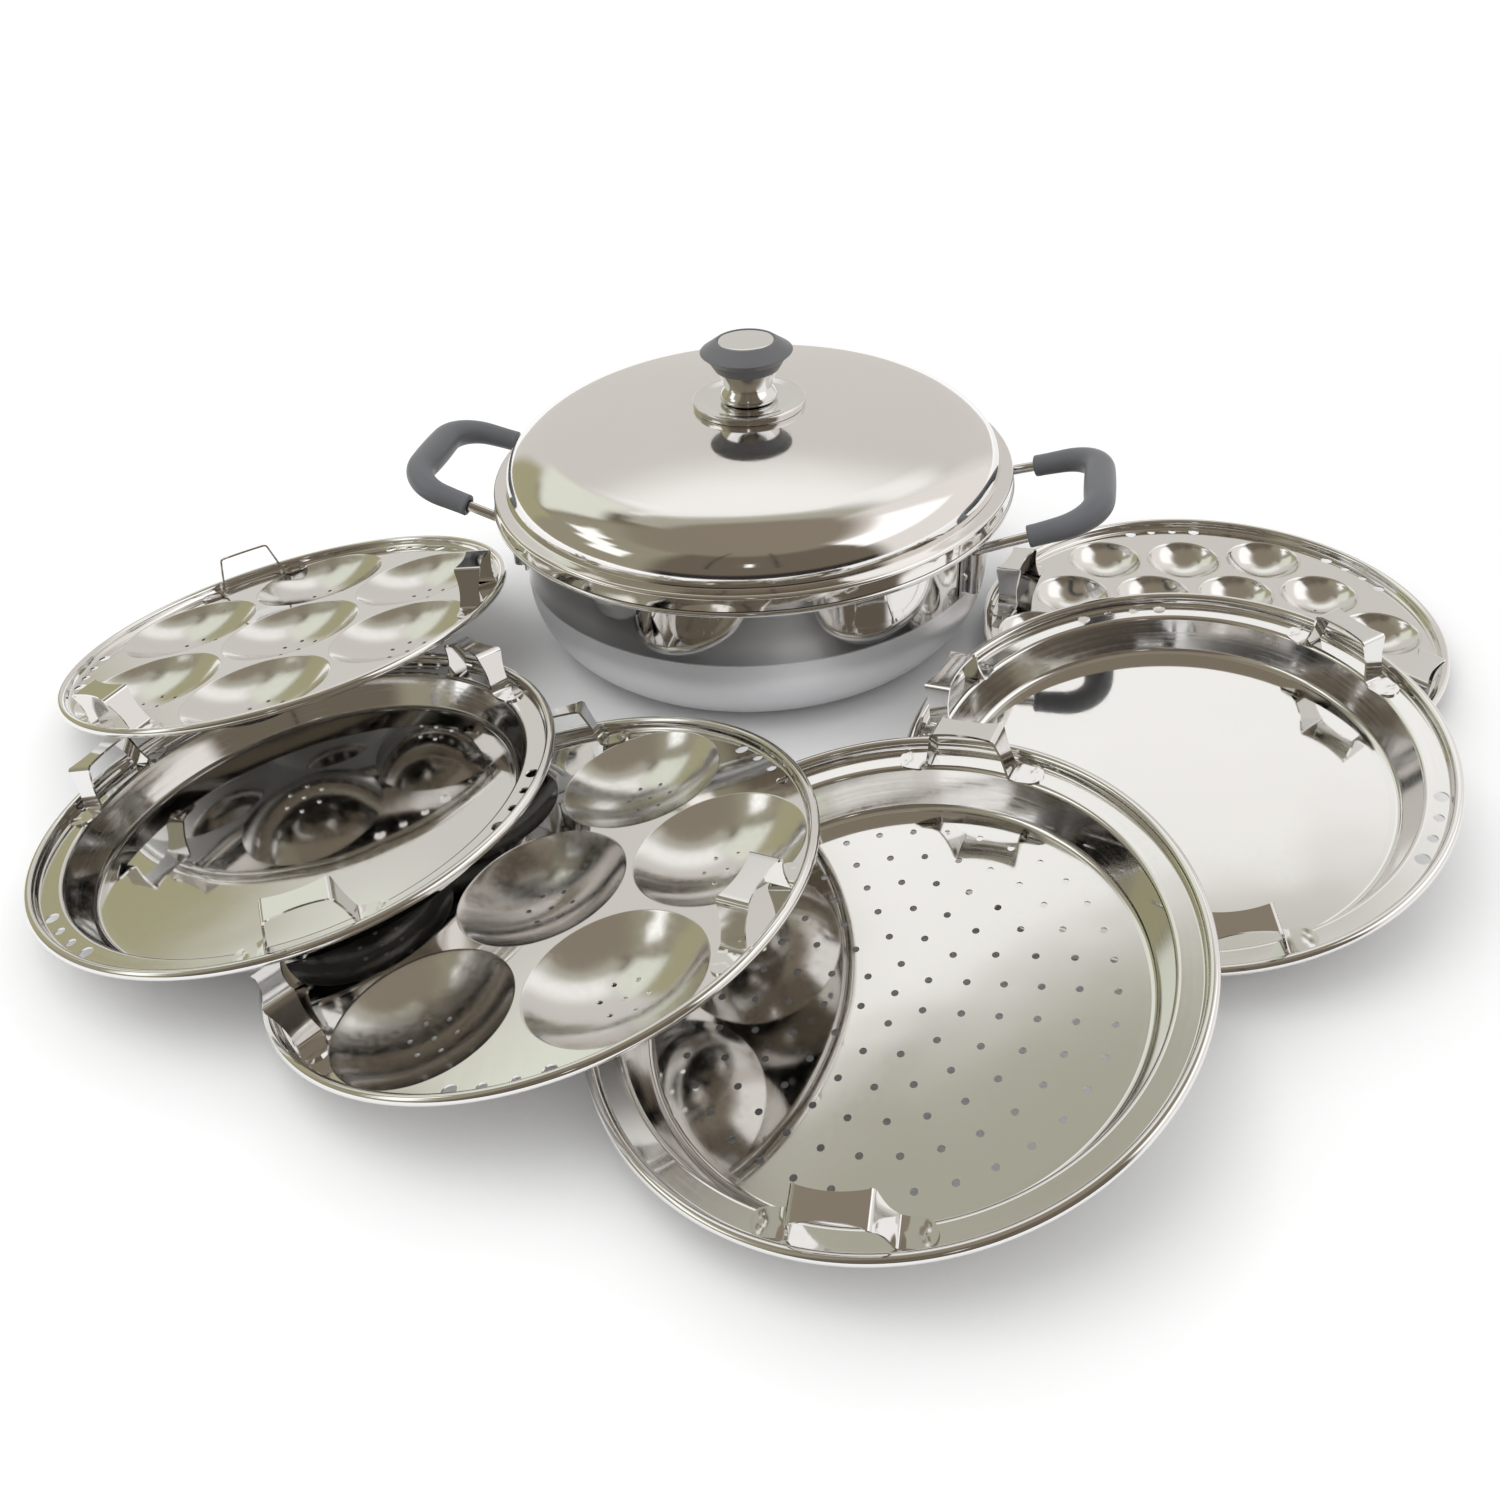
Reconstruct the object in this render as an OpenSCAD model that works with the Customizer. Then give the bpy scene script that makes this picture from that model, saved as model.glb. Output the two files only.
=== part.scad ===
// Idli steamer set: a lidded pot, two idli plates, one mini idli plate, two deep trays and one perforated tray.
// The set lies as it is shown: the plates in a row round the pot, each leaning on the next one.
// Z is up, the floor is Z = 0, and the pot stands on the Z axis. All sizes are in millimetres.

/* [Pot] */
// Outer radius of the rolled rim, the largest radius of the pot
pot_rim_r = 150; // [120:1:180]
// Height of the middle of the rolled rim above the floor
pot_rim_z = 89; // [60:1:140]
// Radius of the rolled rim's own section
pot_bead_r = 1.6; // [1:0.1:4]
// Outer radius of the wall just under its flare
pot_wall_r = 136.5; // [110:0.5:148]
// Slope of the wall from the vertical, in degrees
pot_wall_slope = 0; // [0:0.2:10]
// Radius of the curve from the wall out to the rim
pot_flare = 9; // [4:0.5:12]
// Radius of the curve from the wall down to the flat base
pot_bowl_arc = 42; // [20:1:60]
// Thickness of the pot's steel
pot_sheet = 1.0; // [0.6:0.1:3]

/* [Lid] */
// Height of the top of the dome
lid_top_z = 136.4; // [110:0.1:180]
// Radius of the dome's lower wall
lid_dome_r = 141.3; // [110:0.1:175]
// Radius of the crown, the wide flat curve of the dome
lid_crown = 607; // [400:1:900]
// Slope where the crown meets the middle curve, in degrees
lid_crown_slope = 10.5; // [4:0.1:16]
// Radius of the middle curve between the crown and the shoulder
lid_haunch = 55; // [30:0.5:120]
// Slope where the middle curve meets the shoulder, in degrees
lid_haunch_slope = 36.4; // [20:0.1:60]
// Outer radius of the band that sits on the rim
lid_band_r = 148.9; // [115:0.1:178]
// Top of the band
lid_band_z = 99.2; // [90:0.1:120]
// Thickness of the lid's steel
lid_sheet = 0.9; // [0.6:0.1:2]
// Free gap between the band and the rim
lid_gap = 0.4; // [0.1:0.1:1]

/* [Knob] */
// Radius of the skirt disc on the lid
skirt_r = 31.8; // [20:0.2:45]
// Height of the skirt disc
skirt_h = 4.0; // [2:0.2:8]
// Largest radius of the bulged neck
neck_r = 16.2; // [8:0.2:24]
// Radius of the waist above the neck
waist_r = 13; // [6:0.2:22]
// Radius of the flared cup where it meets the cap
flare_r = 17.6; // [12:0.2:30]
// Largest radius of the cap
cap_r = 25.6; // [15:0.2:40]
// Radius of the disc let into the cap's top
insert_r = 15.5; // [8:0.2:25]
// Radius of the screw that holds the knob
knob_screw_r = 2.5; // [1.5:0.1:4]

/* [Handles] */
// Direction of the middle of the right handle, in degrees from +X
handle_turn = -12.8; // [-90:0.2:90]
// Height of the handle's plane at the starting radius
handle_z = 77; // [50:0.5:100]
// Radius where the handle's plane is measured from
handle_start_r = 135; // [100:1:160]
// Rise of the handle outwards, in degrees
handle_rise = 17; // [0:0.5:40]
// Half the distance between the two arms at the wall
arm_half_wall = 45.5; // [25:0.5:70]
// Half the distance between the two arms at the outer bar
arm_half_tip = 39; // [20:0.5:70]
// Reach of the outer bar's middle line from the pot's axis
handle_reach = 196.5; // [160:0.5:230]
// Bend radius of the loop's two corners
handle_bend = 24; // [12:0.5:36]
// Radius of the steel rod
rod_r = 2.9; // [2:0.1:5]
// Radius of the sleeve at its two ends
grip_end_r = 6.2; // [4:0.1:10]
// Radius of the sleeve at the corners
grip_bend_r = 7.8; // [5:0.1:12]
// Radius of the sleeve at the middle of the outer bar
grip_mid_r = 8.9; // [5:0.1:14]
// Distance from the pot's axis to the ends of the sleeve
grip_start_r = 160; // [152:0.5:180]
// Length of the rod's leg down the wall
rod_leg = 22; // [8:0.5:34]
// Width of a bracket
bracket_w = 22; // [14:0.5:36]
// Height of a bracket
bracket_h = 24; // [12:0.5:34]
// Thickness of a bracket
bracket_t = 1.2; // [0.6:0.1:3]
// Radius of a rivet's shank
rivet_r = 1.5; // [1:0.1:3]

/* [Plates] */
// Outer radius of each plate's rolled rim
plate_r = 128.8; // [100:0.2:150]
// Radius of the rolled rim's own section
plate_bead_r = 2.4; // [1:0.1:4]
// Depth of the flat flange below the middle of the rolled rim
flange_drop = 3.4; // [1:0.1:8]
// Thickness of the plates' steel
plate_sheet = 0.8; // [0.4:0.1:2]
// Radius of the circle that the vent holes lie on
vent_circle_r = 119.5; // [90:0.5:140]
// Radius of the two larger vent holes of a group
vent_large_r = 3.3; // [1:0.1:5]
// Radius of the two smaller vent holes of a group
vent_small_r = 2.4; // [1:0.1:5]
// Half the spread between the two larger vent holes, in degrees
vent_outer_spread = 9.7; // [5:0.1:20]
// Half the spread between the two smaller vent holes, in degrees
vent_inner_spread = 3.2; // [1:0.1:8]

/* [Trays] */
// Radius where the flange turns down into the well
well_top_r = 112.4; // [80:0.2:130]
// Radius of the well's flat bottom
well_bottom_r = 104.6; // [70:0.2:125]
// Depth of the well below the middle of the rolled rim
well_depth = 21.2; // [8:0.2:60]
// Depth of the perforated tray's well
steam_depth = 22.8; // [8:0.2:60]
// Radius of the perforated tray's holes
steam_hole_r = 1.6; // [0.8:0.1:4]
// Pitch between the rings of steam holes
steam_pitch = 15; // [8:0.5:30]
// Number of rings of steam holes round the middle one
steam_rings = 6; // [1:1:8]

/* [Cups] */
// Radius of an idli cup's mouth
idli_mouth_r = 39.5; // [25:0.5:50]
// Depth of an idli cup
idli_depth = 13; // [6:0.5:25]
// Radius of the circle that the six outer idli cups lie on
idli_circle_r = 82.5; // [60:0.5:100]
// Radius of a drain hole
drain_r = 1.2; // [0.6:0.1:3]
// Radius of the ring of six drain holes in a cup
drain_circle_r = 10.4; // [4:0.2:20]
// Radius of a mini cup's mouth
mini_mouth_r = 22; // [12:0.5:30]
// Depth of a mini cup
mini_depth = 11; // [5:0.5:20]
// Pitch of the mini cups
mini_pitch = 48.3; // [30:0.1:60]

/* [Lugs] */
// Height of a lifting lug above the flange
lug_h = 22; // [10:0.5:40]
// Half the length of a lug's top
lug_half = 14.8; // [10:0.2:30]
// Half the full length of a lug from foot to foot
lug_reach = 34; // [24:0.5:45]
// Lean of a lug's legs towards each other, in degrees
lug_lean = 14; // [0:1:25]
// Lean of a lug away from the plate's centre, in degrees
lug_splay = 8; // [0:1:15]
// Width of the lug's feet
lug_foot_w = 11.8; // [6:0.2:18]
// Width of the lug's strip at its upper corners
lug_corner_w = 14.4; // [8:0.2:22]
// Width of the lug's strip at its waist
lug_waist_w = 10.2; // [5:0.2:18]
// Thickness of the lug's strip
lug_t = 1.1; // [0.6:0.1:3]
// Radius of the lug's middle line from the plate's centre
lug_circle_r = 113.8; // [90:0.1:130]
// Bend radius at the upper corners and at the feet, at the sheet's middle
lug_bend = 1.8; // [1:0.1:5]
// Radius of a spot-weld dimple
weld_r = 1.3; // [0.5:0.1:3]

/* [Plate places] */
// Middle of the left idli plate's rolled rim
idli_left_place = [-271.9, -49.6, 37.4];
// Slope of the left idli plate, the way its top leans, and its turn, in degrees
idli_left_angles = [12.6, 133, -85.7];
// Places of the left idli plate's lugs round its rim, in degrees
idli_left_lugs = [83.5, 204.5, 322];
// Middle of the left tray's rolled rim
tray_left_place = [-229.4, -205.3, 36.7];
// Slope of the left tray, the way its top leans, and its turn, in degrees
tray_left_angles = [8.5, 154, -45.8];
// Places of the left tray's lugs round its rim, in degrees
tray_left_lugs = [92.6, 206, 334.2];
// Middle of the front idli plate's rolled rim
idli_front_place = [-103.7, -278.0, 36.5];
// Slope of the front idli plate, the way its top leans, and its turn, in degrees
idli_front_angles = [13.4, 157, -0.6];
// Places of the front idli plate's lugs round its rim, in degrees
idli_front_lugs = [91, 209, 331.6];
// Middle of the perforated tray's rolled rim
steam_tray_place = [44.4, -345.0, 44.7];
// Slope of the perforated tray, the way its top leans, and its turn, in degrees
steam_tray_angles = [12.0, -155, -23.0];
// Places of the perforated tray's lugs round its rim, in degrees
steam_tray_lugs = [87.2, 279.2];
// Middle of the right tray's rolled rim
tray_right_place = [193.1, -216.7, 37.9];
// Slope of the right tray, the way its top leans, and its turn, in degrees
tray_right_angles = [8.7, -142, -61.7];
// Places of the right tray's lugs round its rim, in degrees
tray_right_lugs = [90.5, 206.2, 331.6];
// Middle of the mini idli plate's rolled rim
mini_place = [256.3, -69.3, 14.8];
// Slope of the mini idli plate, the way its top leans, and its turn, in degrees
mini_angles = [0, 0, 58];
// Places of the mini idli plate's lugs round its rim, in degrees
mini_lugs = [92, 262];

/* [Hidden] */
$fn = 96;
steel = [0.78, 0.78, 0.77];
satin_steel = [0.66, 0.66, 0.66];
soft_grey = [0.42, 0.42, 0.44];

// Pot
pot_flare_z = pot_rim_z - 0.2 - pot_flare * (1 - sin(pot_wall_slope));
pot_bowl_z = pot_bowl_arc * (1 - sin(pot_wall_slope));
bowl_r = pot_wall_r - (pot_flare_z - pot_bowl_z) * tan(pot_wall_slope);
bowl_centre = [bowl_r - pot_bowl_arc * cos(pot_wall_slope), pot_bowl_arc];
pot_flare_centre = [
    pot_wall_r - pot_sheet / 2 + pot_flare * cos(pot_wall_slope), pot_flare_z - pot_flare * sin(pot_wall_slope)
];
pot_bead_mid_r = pot_rim_r - pot_bead_r;

// Lid
function sloped(slope) = [sin(slope), cos(slope)];
lid_crown_centre = [0, lid_top_z - lid_crown];
lid_haunch_centre = lid_crown_centre + (lid_crown - lid_haunch) * sloped(lid_crown_slope);
lid_shoulder = (lid_dome_r - lid_haunch_centre[0] - lid_haunch * sin(lid_haunch_slope)) / (1 - sin(lid_haunch_slope));
lid_shoulder_centre = lid_haunch_centre + (lid_haunch - lid_shoulder) * sloped(lid_haunch_slope);
lid_bottom_z = pot_rim_z + pot_bead_r + lid_gap;

// Knob, measured up from the top of the dome
skirt_z = lid_top_z + 0.1;
skirt_top_z = skirt_z + skirt_h - 0.7;
neck_z = skirt_top_z - 1.4;
waist_z = neck_z + 7.9;
flare_z = waist_z + 10.1;
cap_z = flare_z + 15.8;

// Handles
handle_length = (handle_reach - handle_start_r) / cos(handle_rise);
arm_angle = atan2(arm_half_wall - arm_half_tip, handle_length);
bend_turn = 90 - arm_angle;
bend_run = handle_bend * tan(bend_turn / 2);
rod_wall_gap = rod_r + 0.4;
grip_clear = 0.1;

// Plates
plate_bead_mid_r = plate_r - plate_bead_r;
flange_edge_r = plate_r - 2 * plate_bead_r;
flange_top = -flange_drop + plate_sheet / 2;
vent_angles = [30, 150, 270];
mini_vent_angles = [30, 150, 210, 330];
steam_turn = 36.3;
mini_turn = -4;

// Bent sheet, drawn as a middle line with a thickness
function unit_normal(a, b) = let (d = b - a) [-d[1], d[0]] / norm(d);
function beside(path, gap) = [
    for (i = [0 : len(path) - 1])
        let (
            before = i == 0 ? unit_normal(path[0], path[1]) : unit_normal(path[i - 1], path[i]),
            after = i == len(path) - 1 ? before : unit_normal(path[i], path[i + 1]),
            both = before + after
        )
        path[i] + both * 2 * gap / (both * both)
];
function backwards(list) = [for (i = [len(list) - 1 : -1 : 0]) list[i]];
function arc(centre, r, from, to, steps) = [
    for (i = [0 : steps]) let (a = from + (to - from) * i / steps) centre + r * [cos(a), sin(a)]
];
module bent_sheet(path, thickness) {
    polygon(concat(beside(path, thickness / 2), backwards(beside(path, -thickness / 2))));
}
// A spun sheet starts on the axis, so its outline is cut off there
module spun_sheet(path, thickness) intersection() {
    bent_sheet(path, thickness);
    translate([0, -plate_r]) square([2 * plate_r, 4 * plate_r]);
}

module rolled_rim(mid_r, z, r) {
    rotate_extrude($fn = 180) translate([mid_r, z]) circle(r, $fn = 32);
}

// Pot: one spun shell with an upright wall, a round bottom with a flat base, and a flared rolled rim
function wall_r(z) = bowl_r + (z - pot_bowl_z) * tan(pot_wall_slope);
pot_path = concat(
    [[0, pot_sheet / 2]],
    arc(bowl_centre, pot_bowl_arc - pot_sheet / 2, -90, -pot_wall_slope, 14),
    arc(pot_flare_centre, pot_flare, 180 - pot_wall_slope, 90, 8),
    [[pot_bead_mid_r - 0.4, pot_rim_z]]
);
module rivet_spots() {
    for (side = [-1, 1]) for (across = [-1, 1]) on_wall(side) translate([0, across * bracket_w * 0.34, -bracket_h * 0.55])
        rotate([0, 90, 0]) children();
}
module pot_body() color(steel) difference() {
    union() {
        rotate_extrude($fn = 180) spun_sheet(pot_path, pot_sheet);
        rolled_rim(pot_bead_mid_r, pot_rim_z, pot_bead_r);
    }
    for (turn = [0, 180]) rotate([0, 0, handle_turn + turn]) rivet_spots()
        cylinder(r = rivet_r + 0.02, h = 12, center = true, $fn = 24);
}

// Straight lengths run a little way into the bends, and are a hair thicker there, so that each piece is one solid
run_in = 0.3;
hair = 0.02;

// Handles: a bent rod with a soft sleeve, held on the wall by two riveted brackets
module handle_plane() {
    translate([handle_start_r, 0, handle_z]) rotate([0, -handle_rise, 0]) children();
}
function along_arm(x) = [x, -arm_half_wall + x * tan(arm_angle)];
leg_x = (sqrt((wall_r(handle_z) + rod_wall_gap) ^ 2 - arm_half_wall ^ 2) - handle_start_r) / cos(handle_rise);
grip_x = (grip_start_r - handle_start_r) / cos(handle_rise);
arm_way = [cos(arm_angle), sin(arm_angle)];
bend_start = [handle_length, -arm_half_tip] - bend_run * arm_way;
bend_centre = bend_start + handle_bend * [-sin(arm_angle), cos(arm_angle)];
grip_bar = arm_half_tip - bend_run;
module rod_between(a, b, r1, r2) {
    d = b - a;
    translate([a[0], a[1], 0]) rotate([0, 90, atan2(d[1], d[0])]) cylinder(r1 = r1, r2 = r2, h = norm(d), $fn = 40);
}
module loop_bend(r) {
    translate([bend_centre[0], bend_centre[1], 0]) rotate([0, 0, arm_angle - 90])
        rotate_extrude(angle = bend_turn, $fn = 96) translate([handle_bend, 0]) circle(r, $fn = 40);
}
module both_arms() {
    children();
    mirror([0, 1, 0]) children();
}
// The leg's own frame: origin where the rod meets the wall, X outwards, Z up along the sloping wall
leg_turn = asin(-along_arm(leg_x)[1] / (wall_r(handle_z) + rod_wall_gap));
leg_z = handle_z + leg_x * sin(handle_rise);
module on_wall(side) {
    rotate([0, 0, side * leg_turn]) translate([wall_r(leg_z), 0, leg_z]) rotate([0, pot_wall_slope, 0]) children();
}
module rod_shape(extra) {
    handle_plane() {
        both_arms() {
            rod_between(along_arm(leg_x), bend_start + run_in * arm_way, rod_r + extra + hair, rod_r + extra + hair);
            loop_bend(rod_r + extra);
        }
        translate([handle_length, 0, 0]) rotate([90, 0, 0])
            cylinder(r = rod_r + extra + hair, h = 2 * (grip_bar + run_in), center = true, $fn = 40);
    }
    for (side = [-1, 1]) on_wall(side) translate([rod_wall_gap, 0, 0]) {
        sphere(rod_r + extra + 2 * hair, $fn = 40);
        translate([0, 0, -rod_leg]) cylinder(r = rod_r + extra, h = rod_leg, $fn = 40);
    }
}
module handle_rod(turn) color(steel) rotate([0, 0, handle_turn + turn]) rod_shape(0);
grip_bulge = (grip_bar ^ 2 + (grip_mid_r - grip_bend_r) ^ 2) / (2 * (grip_mid_r - grip_bend_r));
module handle_grip(turn) color(soft_grey) rotate([0, 0, handle_turn + turn]) difference() {
    handle_plane() {
        both_arms() {
            rod_between(along_arm(grip_x), bend_start + run_in * arm_way, grip_end_r, grip_bend_r + hair);
            loop_bend(grip_bend_r);
        }
        translate([handle_length, 0, 0]) rotate([90, 0, 0]) rotate_extrude($fn = 64) intersection() {
            translate([grip_mid_r - grip_bulge, 0]) circle(grip_bulge, $fn = 360);
            translate([0, -grip_bar - run_in]) square([grip_mid_r, 2 * (grip_bar + run_in)]);
        }
    }
    rod_shape(grip_clear);
}
module brackets(turn) color(satin_steel) rotate([0, 0, handle_turn + turn]) difference() {
    for (side = [-1, 1]) on_wall(side) translate([0.05, 0, -bracket_h - 1]) {
        translate([0, -bracket_w / 2, 0]) cube([bracket_t, bracket_w, bracket_h]);
        intersection() {
            translate([rod_wall_gap, 0, 0]) cylinder(r = rod_r + bracket_t, h = bracket_h, $fn = 40);
            translate([0, -bracket_w / 2, 0]) cube([12, bracket_w, bracket_h]);
        }
    }
    rod_shape(grip_clear);
    rivet_spots() cylinder(r = rivet_r + 0.02, h = 12, center = true, $fn = 24);
}
module rivets(turn) color(satin_steel) rotate([0, 0, handle_turn + turn]) rivet_spots() {
    outer = bracket_t + 0.08;
    inner = -pot_sheet - 0.36;
    translate([0, 0, inner]) cylinder(r = rivet_r, h = outer - inner, $fn = 24);
    for (head = [0, 1]) mirror([0, 0, head]) translate([0, 0, head ? -inner : outer]) intersection() {
        translate([0, 0, -1.6]) sphere(3.2, $fn = 32);
        cylinder(r = 4, h = 3, $fn = 24);
    }
}

// Lid: a dome of three curves, flattest at the crown, with a stepped band on the rim
lid_path = concat(
    [[0, lid_top_z - lid_sheet / 2]],
    arc(lid_crown_centre, lid_crown - lid_sheet / 2, 90 - lid_crown_slope / 8, 90 - lid_crown_slope, 7),
    arc(lid_haunch_centre, lid_haunch - lid_sheet / 2, 85 - lid_crown_slope, 90 - lid_haunch_slope, 4),
    arc(lid_shoulder_centre, lid_shoulder - lid_sheet / 2, 84 - lid_haunch_slope, 0, 8),
    [
        [lid_dome_r - lid_sheet / 2, lid_band_z + 0.6],
        [lid_dome_r + 0.8, lid_band_z - lid_sheet / 2],
        [lid_band_r - 1.6, lid_band_z - lid_sheet / 2],
        [lid_band_r - lid_sheet / 2, lid_band_z - 1.8],
        [lid_band_r - lid_sheet / 2, lid_bottom_z]
    ]
);
module lid_shell() color(steel) difference() {
    rotate_extrude($fn = 180) spun_sheet(lid_path, lid_sheet);
    translate([0, 0, lid_top_z]) cylinder(r = knob_screw_r + 0.3, h = 8, center = true, $fn = 32);
}

// Knob: skirt, bulged neck, flared cup, soft cap and its inset disc, on one screw with a washer
module turned(points) rotate_extrude($fn = 96) polygon(points);
module knob_skirt() color(steel) turned([
    [knob_screw_r + 0.1, skirt_z], [skirt_r - 2.4, skirt_z], [skirt_r - 1.6, skirt_z - 0.8], [skirt_r - 0.4, skirt_z - 0.8],
    [skirt_r, skirt_z - 0.2], [skirt_r, skirt_top_z - 0.6], [skirt_r - 0.8, skirt_top_z],
    [skirt_r - 3.2, skirt_top_z - 0.2], [skirt_r - 7.5, neck_z + 0.2], [skirt_r - 14, neck_z], [knob_screw_r + 0.1, neck_z]
]);
module knob_neck() color(steel) turned(concat(
    [[knob_screw_r + 0.1, neck_z]],
    [for (i = [0 : 10]) let (t = i / 10)
        [waist_r + (neck_r - waist_r) * sin(180 * t ^ 0.62), neck_z + (waist_z - neck_z) * t]],
    [[knob_screw_r + 0.1, waist_z]]
));
module knob_flare() color(steel) turned(concat(
    [[knob_screw_r + 0.1, waist_z]],
    [for (i = [0 : 8]) let (t = i / 8)
        [waist_r + 0.2 + (flare_r - waist_r - 0.2) * t ^ 1.25, waist_z + (flare_z - waist_z) * t]],
    [[knob_screw_r + 0.1, flare_z]]
));
module knob_cap() color(soft_grey) turned([
    [knob_screw_r + 0.1, flare_z], [flare_r, flare_z], [flare_r + 0.5, flare_z + 0.3], [cap_r - 4.4, cap_z - 9.9],
    [cap_r - 4.0, cap_z - 9.5], [cap_r - 0.4, cap_z - 6.4], [cap_r, cap_z - 5.8], [cap_r - 0.4, cap_z - 5.3],
    [insert_r + 1.5, cap_z - 0.1], [insert_r + 1, cap_z], [insert_r + 0.1, cap_z],
    [insert_r + 0.1, cap_z - 1.2], [0, cap_z - 1.2], [0, cap_z - 5], [knob_screw_r + 0.1, cap_z - 5]
]);
module knob_insert() color(steel) turned([
    [0, cap_z - 1.2], [insert_r, cap_z - 1.2], [insert_r, cap_z - 0.5], [insert_r - 0.5, cap_z - 0.1], [0, cap_z + 0.1]
]);
washer_top = lid_top_z - lid_sheet - 0.25;
module knob_washer() color(satin_steel) translate([0, 0, washer_top - 1.2]) difference() {
    cylinder(r = 8, h = 1.2, $fn = 48);
    cylinder(r = knob_screw_r + 0.2, h = 6, center = true, $fn = 32);
}
module knob_screw() color(satin_steel) {
    translate([0, 0, washer_top - 4]) cylinder(r = knob_screw_r, h = cap_z - 6 - washer_top + 4, $fn = 32);
    translate([0, 0, washer_top - 4.2]) difference() {
        intersection() {
            cylinder(r = 4.8, h = 3, $fn = 32);
            translate([0, 0, 5.2]) sphere(6.2, $fn = 40);
        }
        for (turn = [0, 90]) rotate([0, 0, turn]) cube([5, 0.9, 2.4], center = true);
    }
}

// Plates: a common rolled rim and flat flange, with vent holes in groups of four
module placed(place, angles) {
    translate(place) rotate(a = angles[0], v = [-sin(angles[1]), cos(angles[1]), 0]) rotate([0, 0, angles[2]]) children();
}
module plate_shell(inner_path) {
    rotate_extrude($fn = 180) spun_sheet(concat(inner_path, [
        [flange_edge_r - 0.9, -flange_drop], [flange_edge_r - 0.1, -flange_drop + 0.7], [flange_edge_r + 0.7, -0.4]
    ]), plate_sheet);
    rolled_rim(plate_bead_mid_r, 0, plate_bead_r);
}
module vent_groups(angles) {
    for (middle = angles) for (side = [-1, 1]) {
        rotate([0, 0, middle + side * vent_outer_spread]) translate([vent_circle_r, 0, -flange_drop])
            cylinder(r = vent_large_r, h = 3, center = true, $fn = 32);
        rotate([0, 0, middle + side * vent_inner_spread]) translate([vent_circle_r, 0, -flange_drop])
            cylinder(r = vent_small_r, h = 3, center = true, $fn = 32);
    }
}

// Trays: a well with sloping sides and a flat bottom
well_bend = 4;
well_side = atan2(well_top_r - well_bottom_r, well_depth - flange_drop);
well_foot_r = well_bottom_r - well_bend * tan(45 - well_side / 2) + 0.6;
function well_path(depth) = concat(
    [[0, -depth]],
    arc([well_foot_r, -depth + well_bend], well_bend, -90, -well_side, 5),
    arc([well_top_r + 2.2, -flange_drop - 2.2], 2.2, 180 - well_side, 90, 4)
);
module tray() color(steel) difference() {
    plate_shell(well_path(well_depth));
    vent_groups(vent_angles);
}
module steam_hole() cylinder(r = steam_hole_r, h = 4, center = true, $fn = 20);
module steam_tray() color(steel) difference() {
    plate_shell(well_path(steam_depth));
    translate([0, 0, -steam_depth]) {
        steam_hole();
        for (ring = [1 : steam_rings]) for (i = [0 : 6 * ring - 1])
            rotate([0, 0, steam_turn + (i + (ring % 2 == 0 ? 0.5 : 0)) * 60 / ring])
                translate([ring * steam_pitch, 0, 0]) steam_hole();
    }
}

// Cup plates: a flat plate with round-bottomed cups pressed into it
function cup_sphere(mouth_r, depth) = (mouth_r ^ 2 + depth ^ 2) / (2 * depth);
function cup_path(mouth_r, depth) = let (
    ball = cup_sphere(mouth_r, depth),
    half = asin(mouth_r / ball)
) concat(
    [[0, -flange_drop - depth]],
    arc([0, -flange_drop - depth + ball], ball, -90 + half / 8, -90 + half * 0.95, 7),
    [[mouth_r + 0.5, -flange_drop - 0.25], [mouth_r + 1.5, -flange_drop]]
);
module cup_plate(places, mouth_r, depth, drains) difference() {
    union() {
        difference() {
            plate_shell([[0, -flange_drop]]);
            for (place = places) translate([place[0], place[1], -flange_drop])
                cylinder(r = mouth_r + 1, h = 4, center = true, $fn = 96);
        }
        for (place = places) translate([place[0], place[1], 0])
            rotate_extrude($fn = 96) spun_sheet(cup_path(mouth_r, depth), plate_sheet);
    }
    if (drains) for (place = places) translate([place[0], place[1], -flange_drop - depth]) {
        cylinder(r = drain_r, h = 4, center = true, $fn = 16);
        for (i = [0 : 5]) rotate([0, 0, 60 * i]) translate([drain_circle_r, 0, 0])
            cylinder(r = drain_r, h = 6, center = true, $fn = 16);
    }
}
idli_places = concat([[0, 0]], [for (i = [0 : 5]) idli_circle_r * [cos(60 * i), sin(60 * i)]]);
mini_places = [
    for (row = [-2 : 2]) for (i = [0 : 4 - abs(row)])
        let (x = mini_pitch * (i - (4 - abs(row)) / 2), y = mini_pitch * row * sin(60))
        [x * cos(mini_turn) - y * sin(mini_turn), x * sin(mini_turn) + y * cos(mini_turn)]
];
module idli_plate() color(steel) difference() {
    cup_plate(idli_places, idli_mouth_r, idli_depth, true);
    vent_groups(vent_angles);
}
module mini_plate() color(steel) difference() {
    cup_plate(mini_places, mini_mouth_r, mini_depth, false);
    vent_groups(mini_vent_angles);
}

// Lugs: a waisted strip bent into a flat-topped arch, its two round-ended feet spot-welded to the flange
lug_rise = lug_h - lug_t - 2 * lug_bend * (1 - sin(lug_lean));
lug_foot_y = lug_half - lug_bend + 2 * lug_bend * cos(lug_lean) + lug_rise * tan(lug_lean);
lug_side = concat(
    [[-lug_reach, lug_t / 2]],
    arc([-lug_foot_y, lug_t / 2 + lug_bend], lug_bend, -90, -lug_lean, 3),
    arc([lug_bend - lug_half, lug_h - lug_t / 2 - lug_bend], lug_bend, 180 - lug_lean, 90, 3)
);
lug_waist_sag = (lug_corner_w - lug_waist_w) / 2;
lug_waist_r = (lug_half ^ 2 + lug_waist_sag ^ 2) / (2 * lug_waist_sag);
lug_waist_half = asin(lug_half / lug_waist_r);
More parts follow.
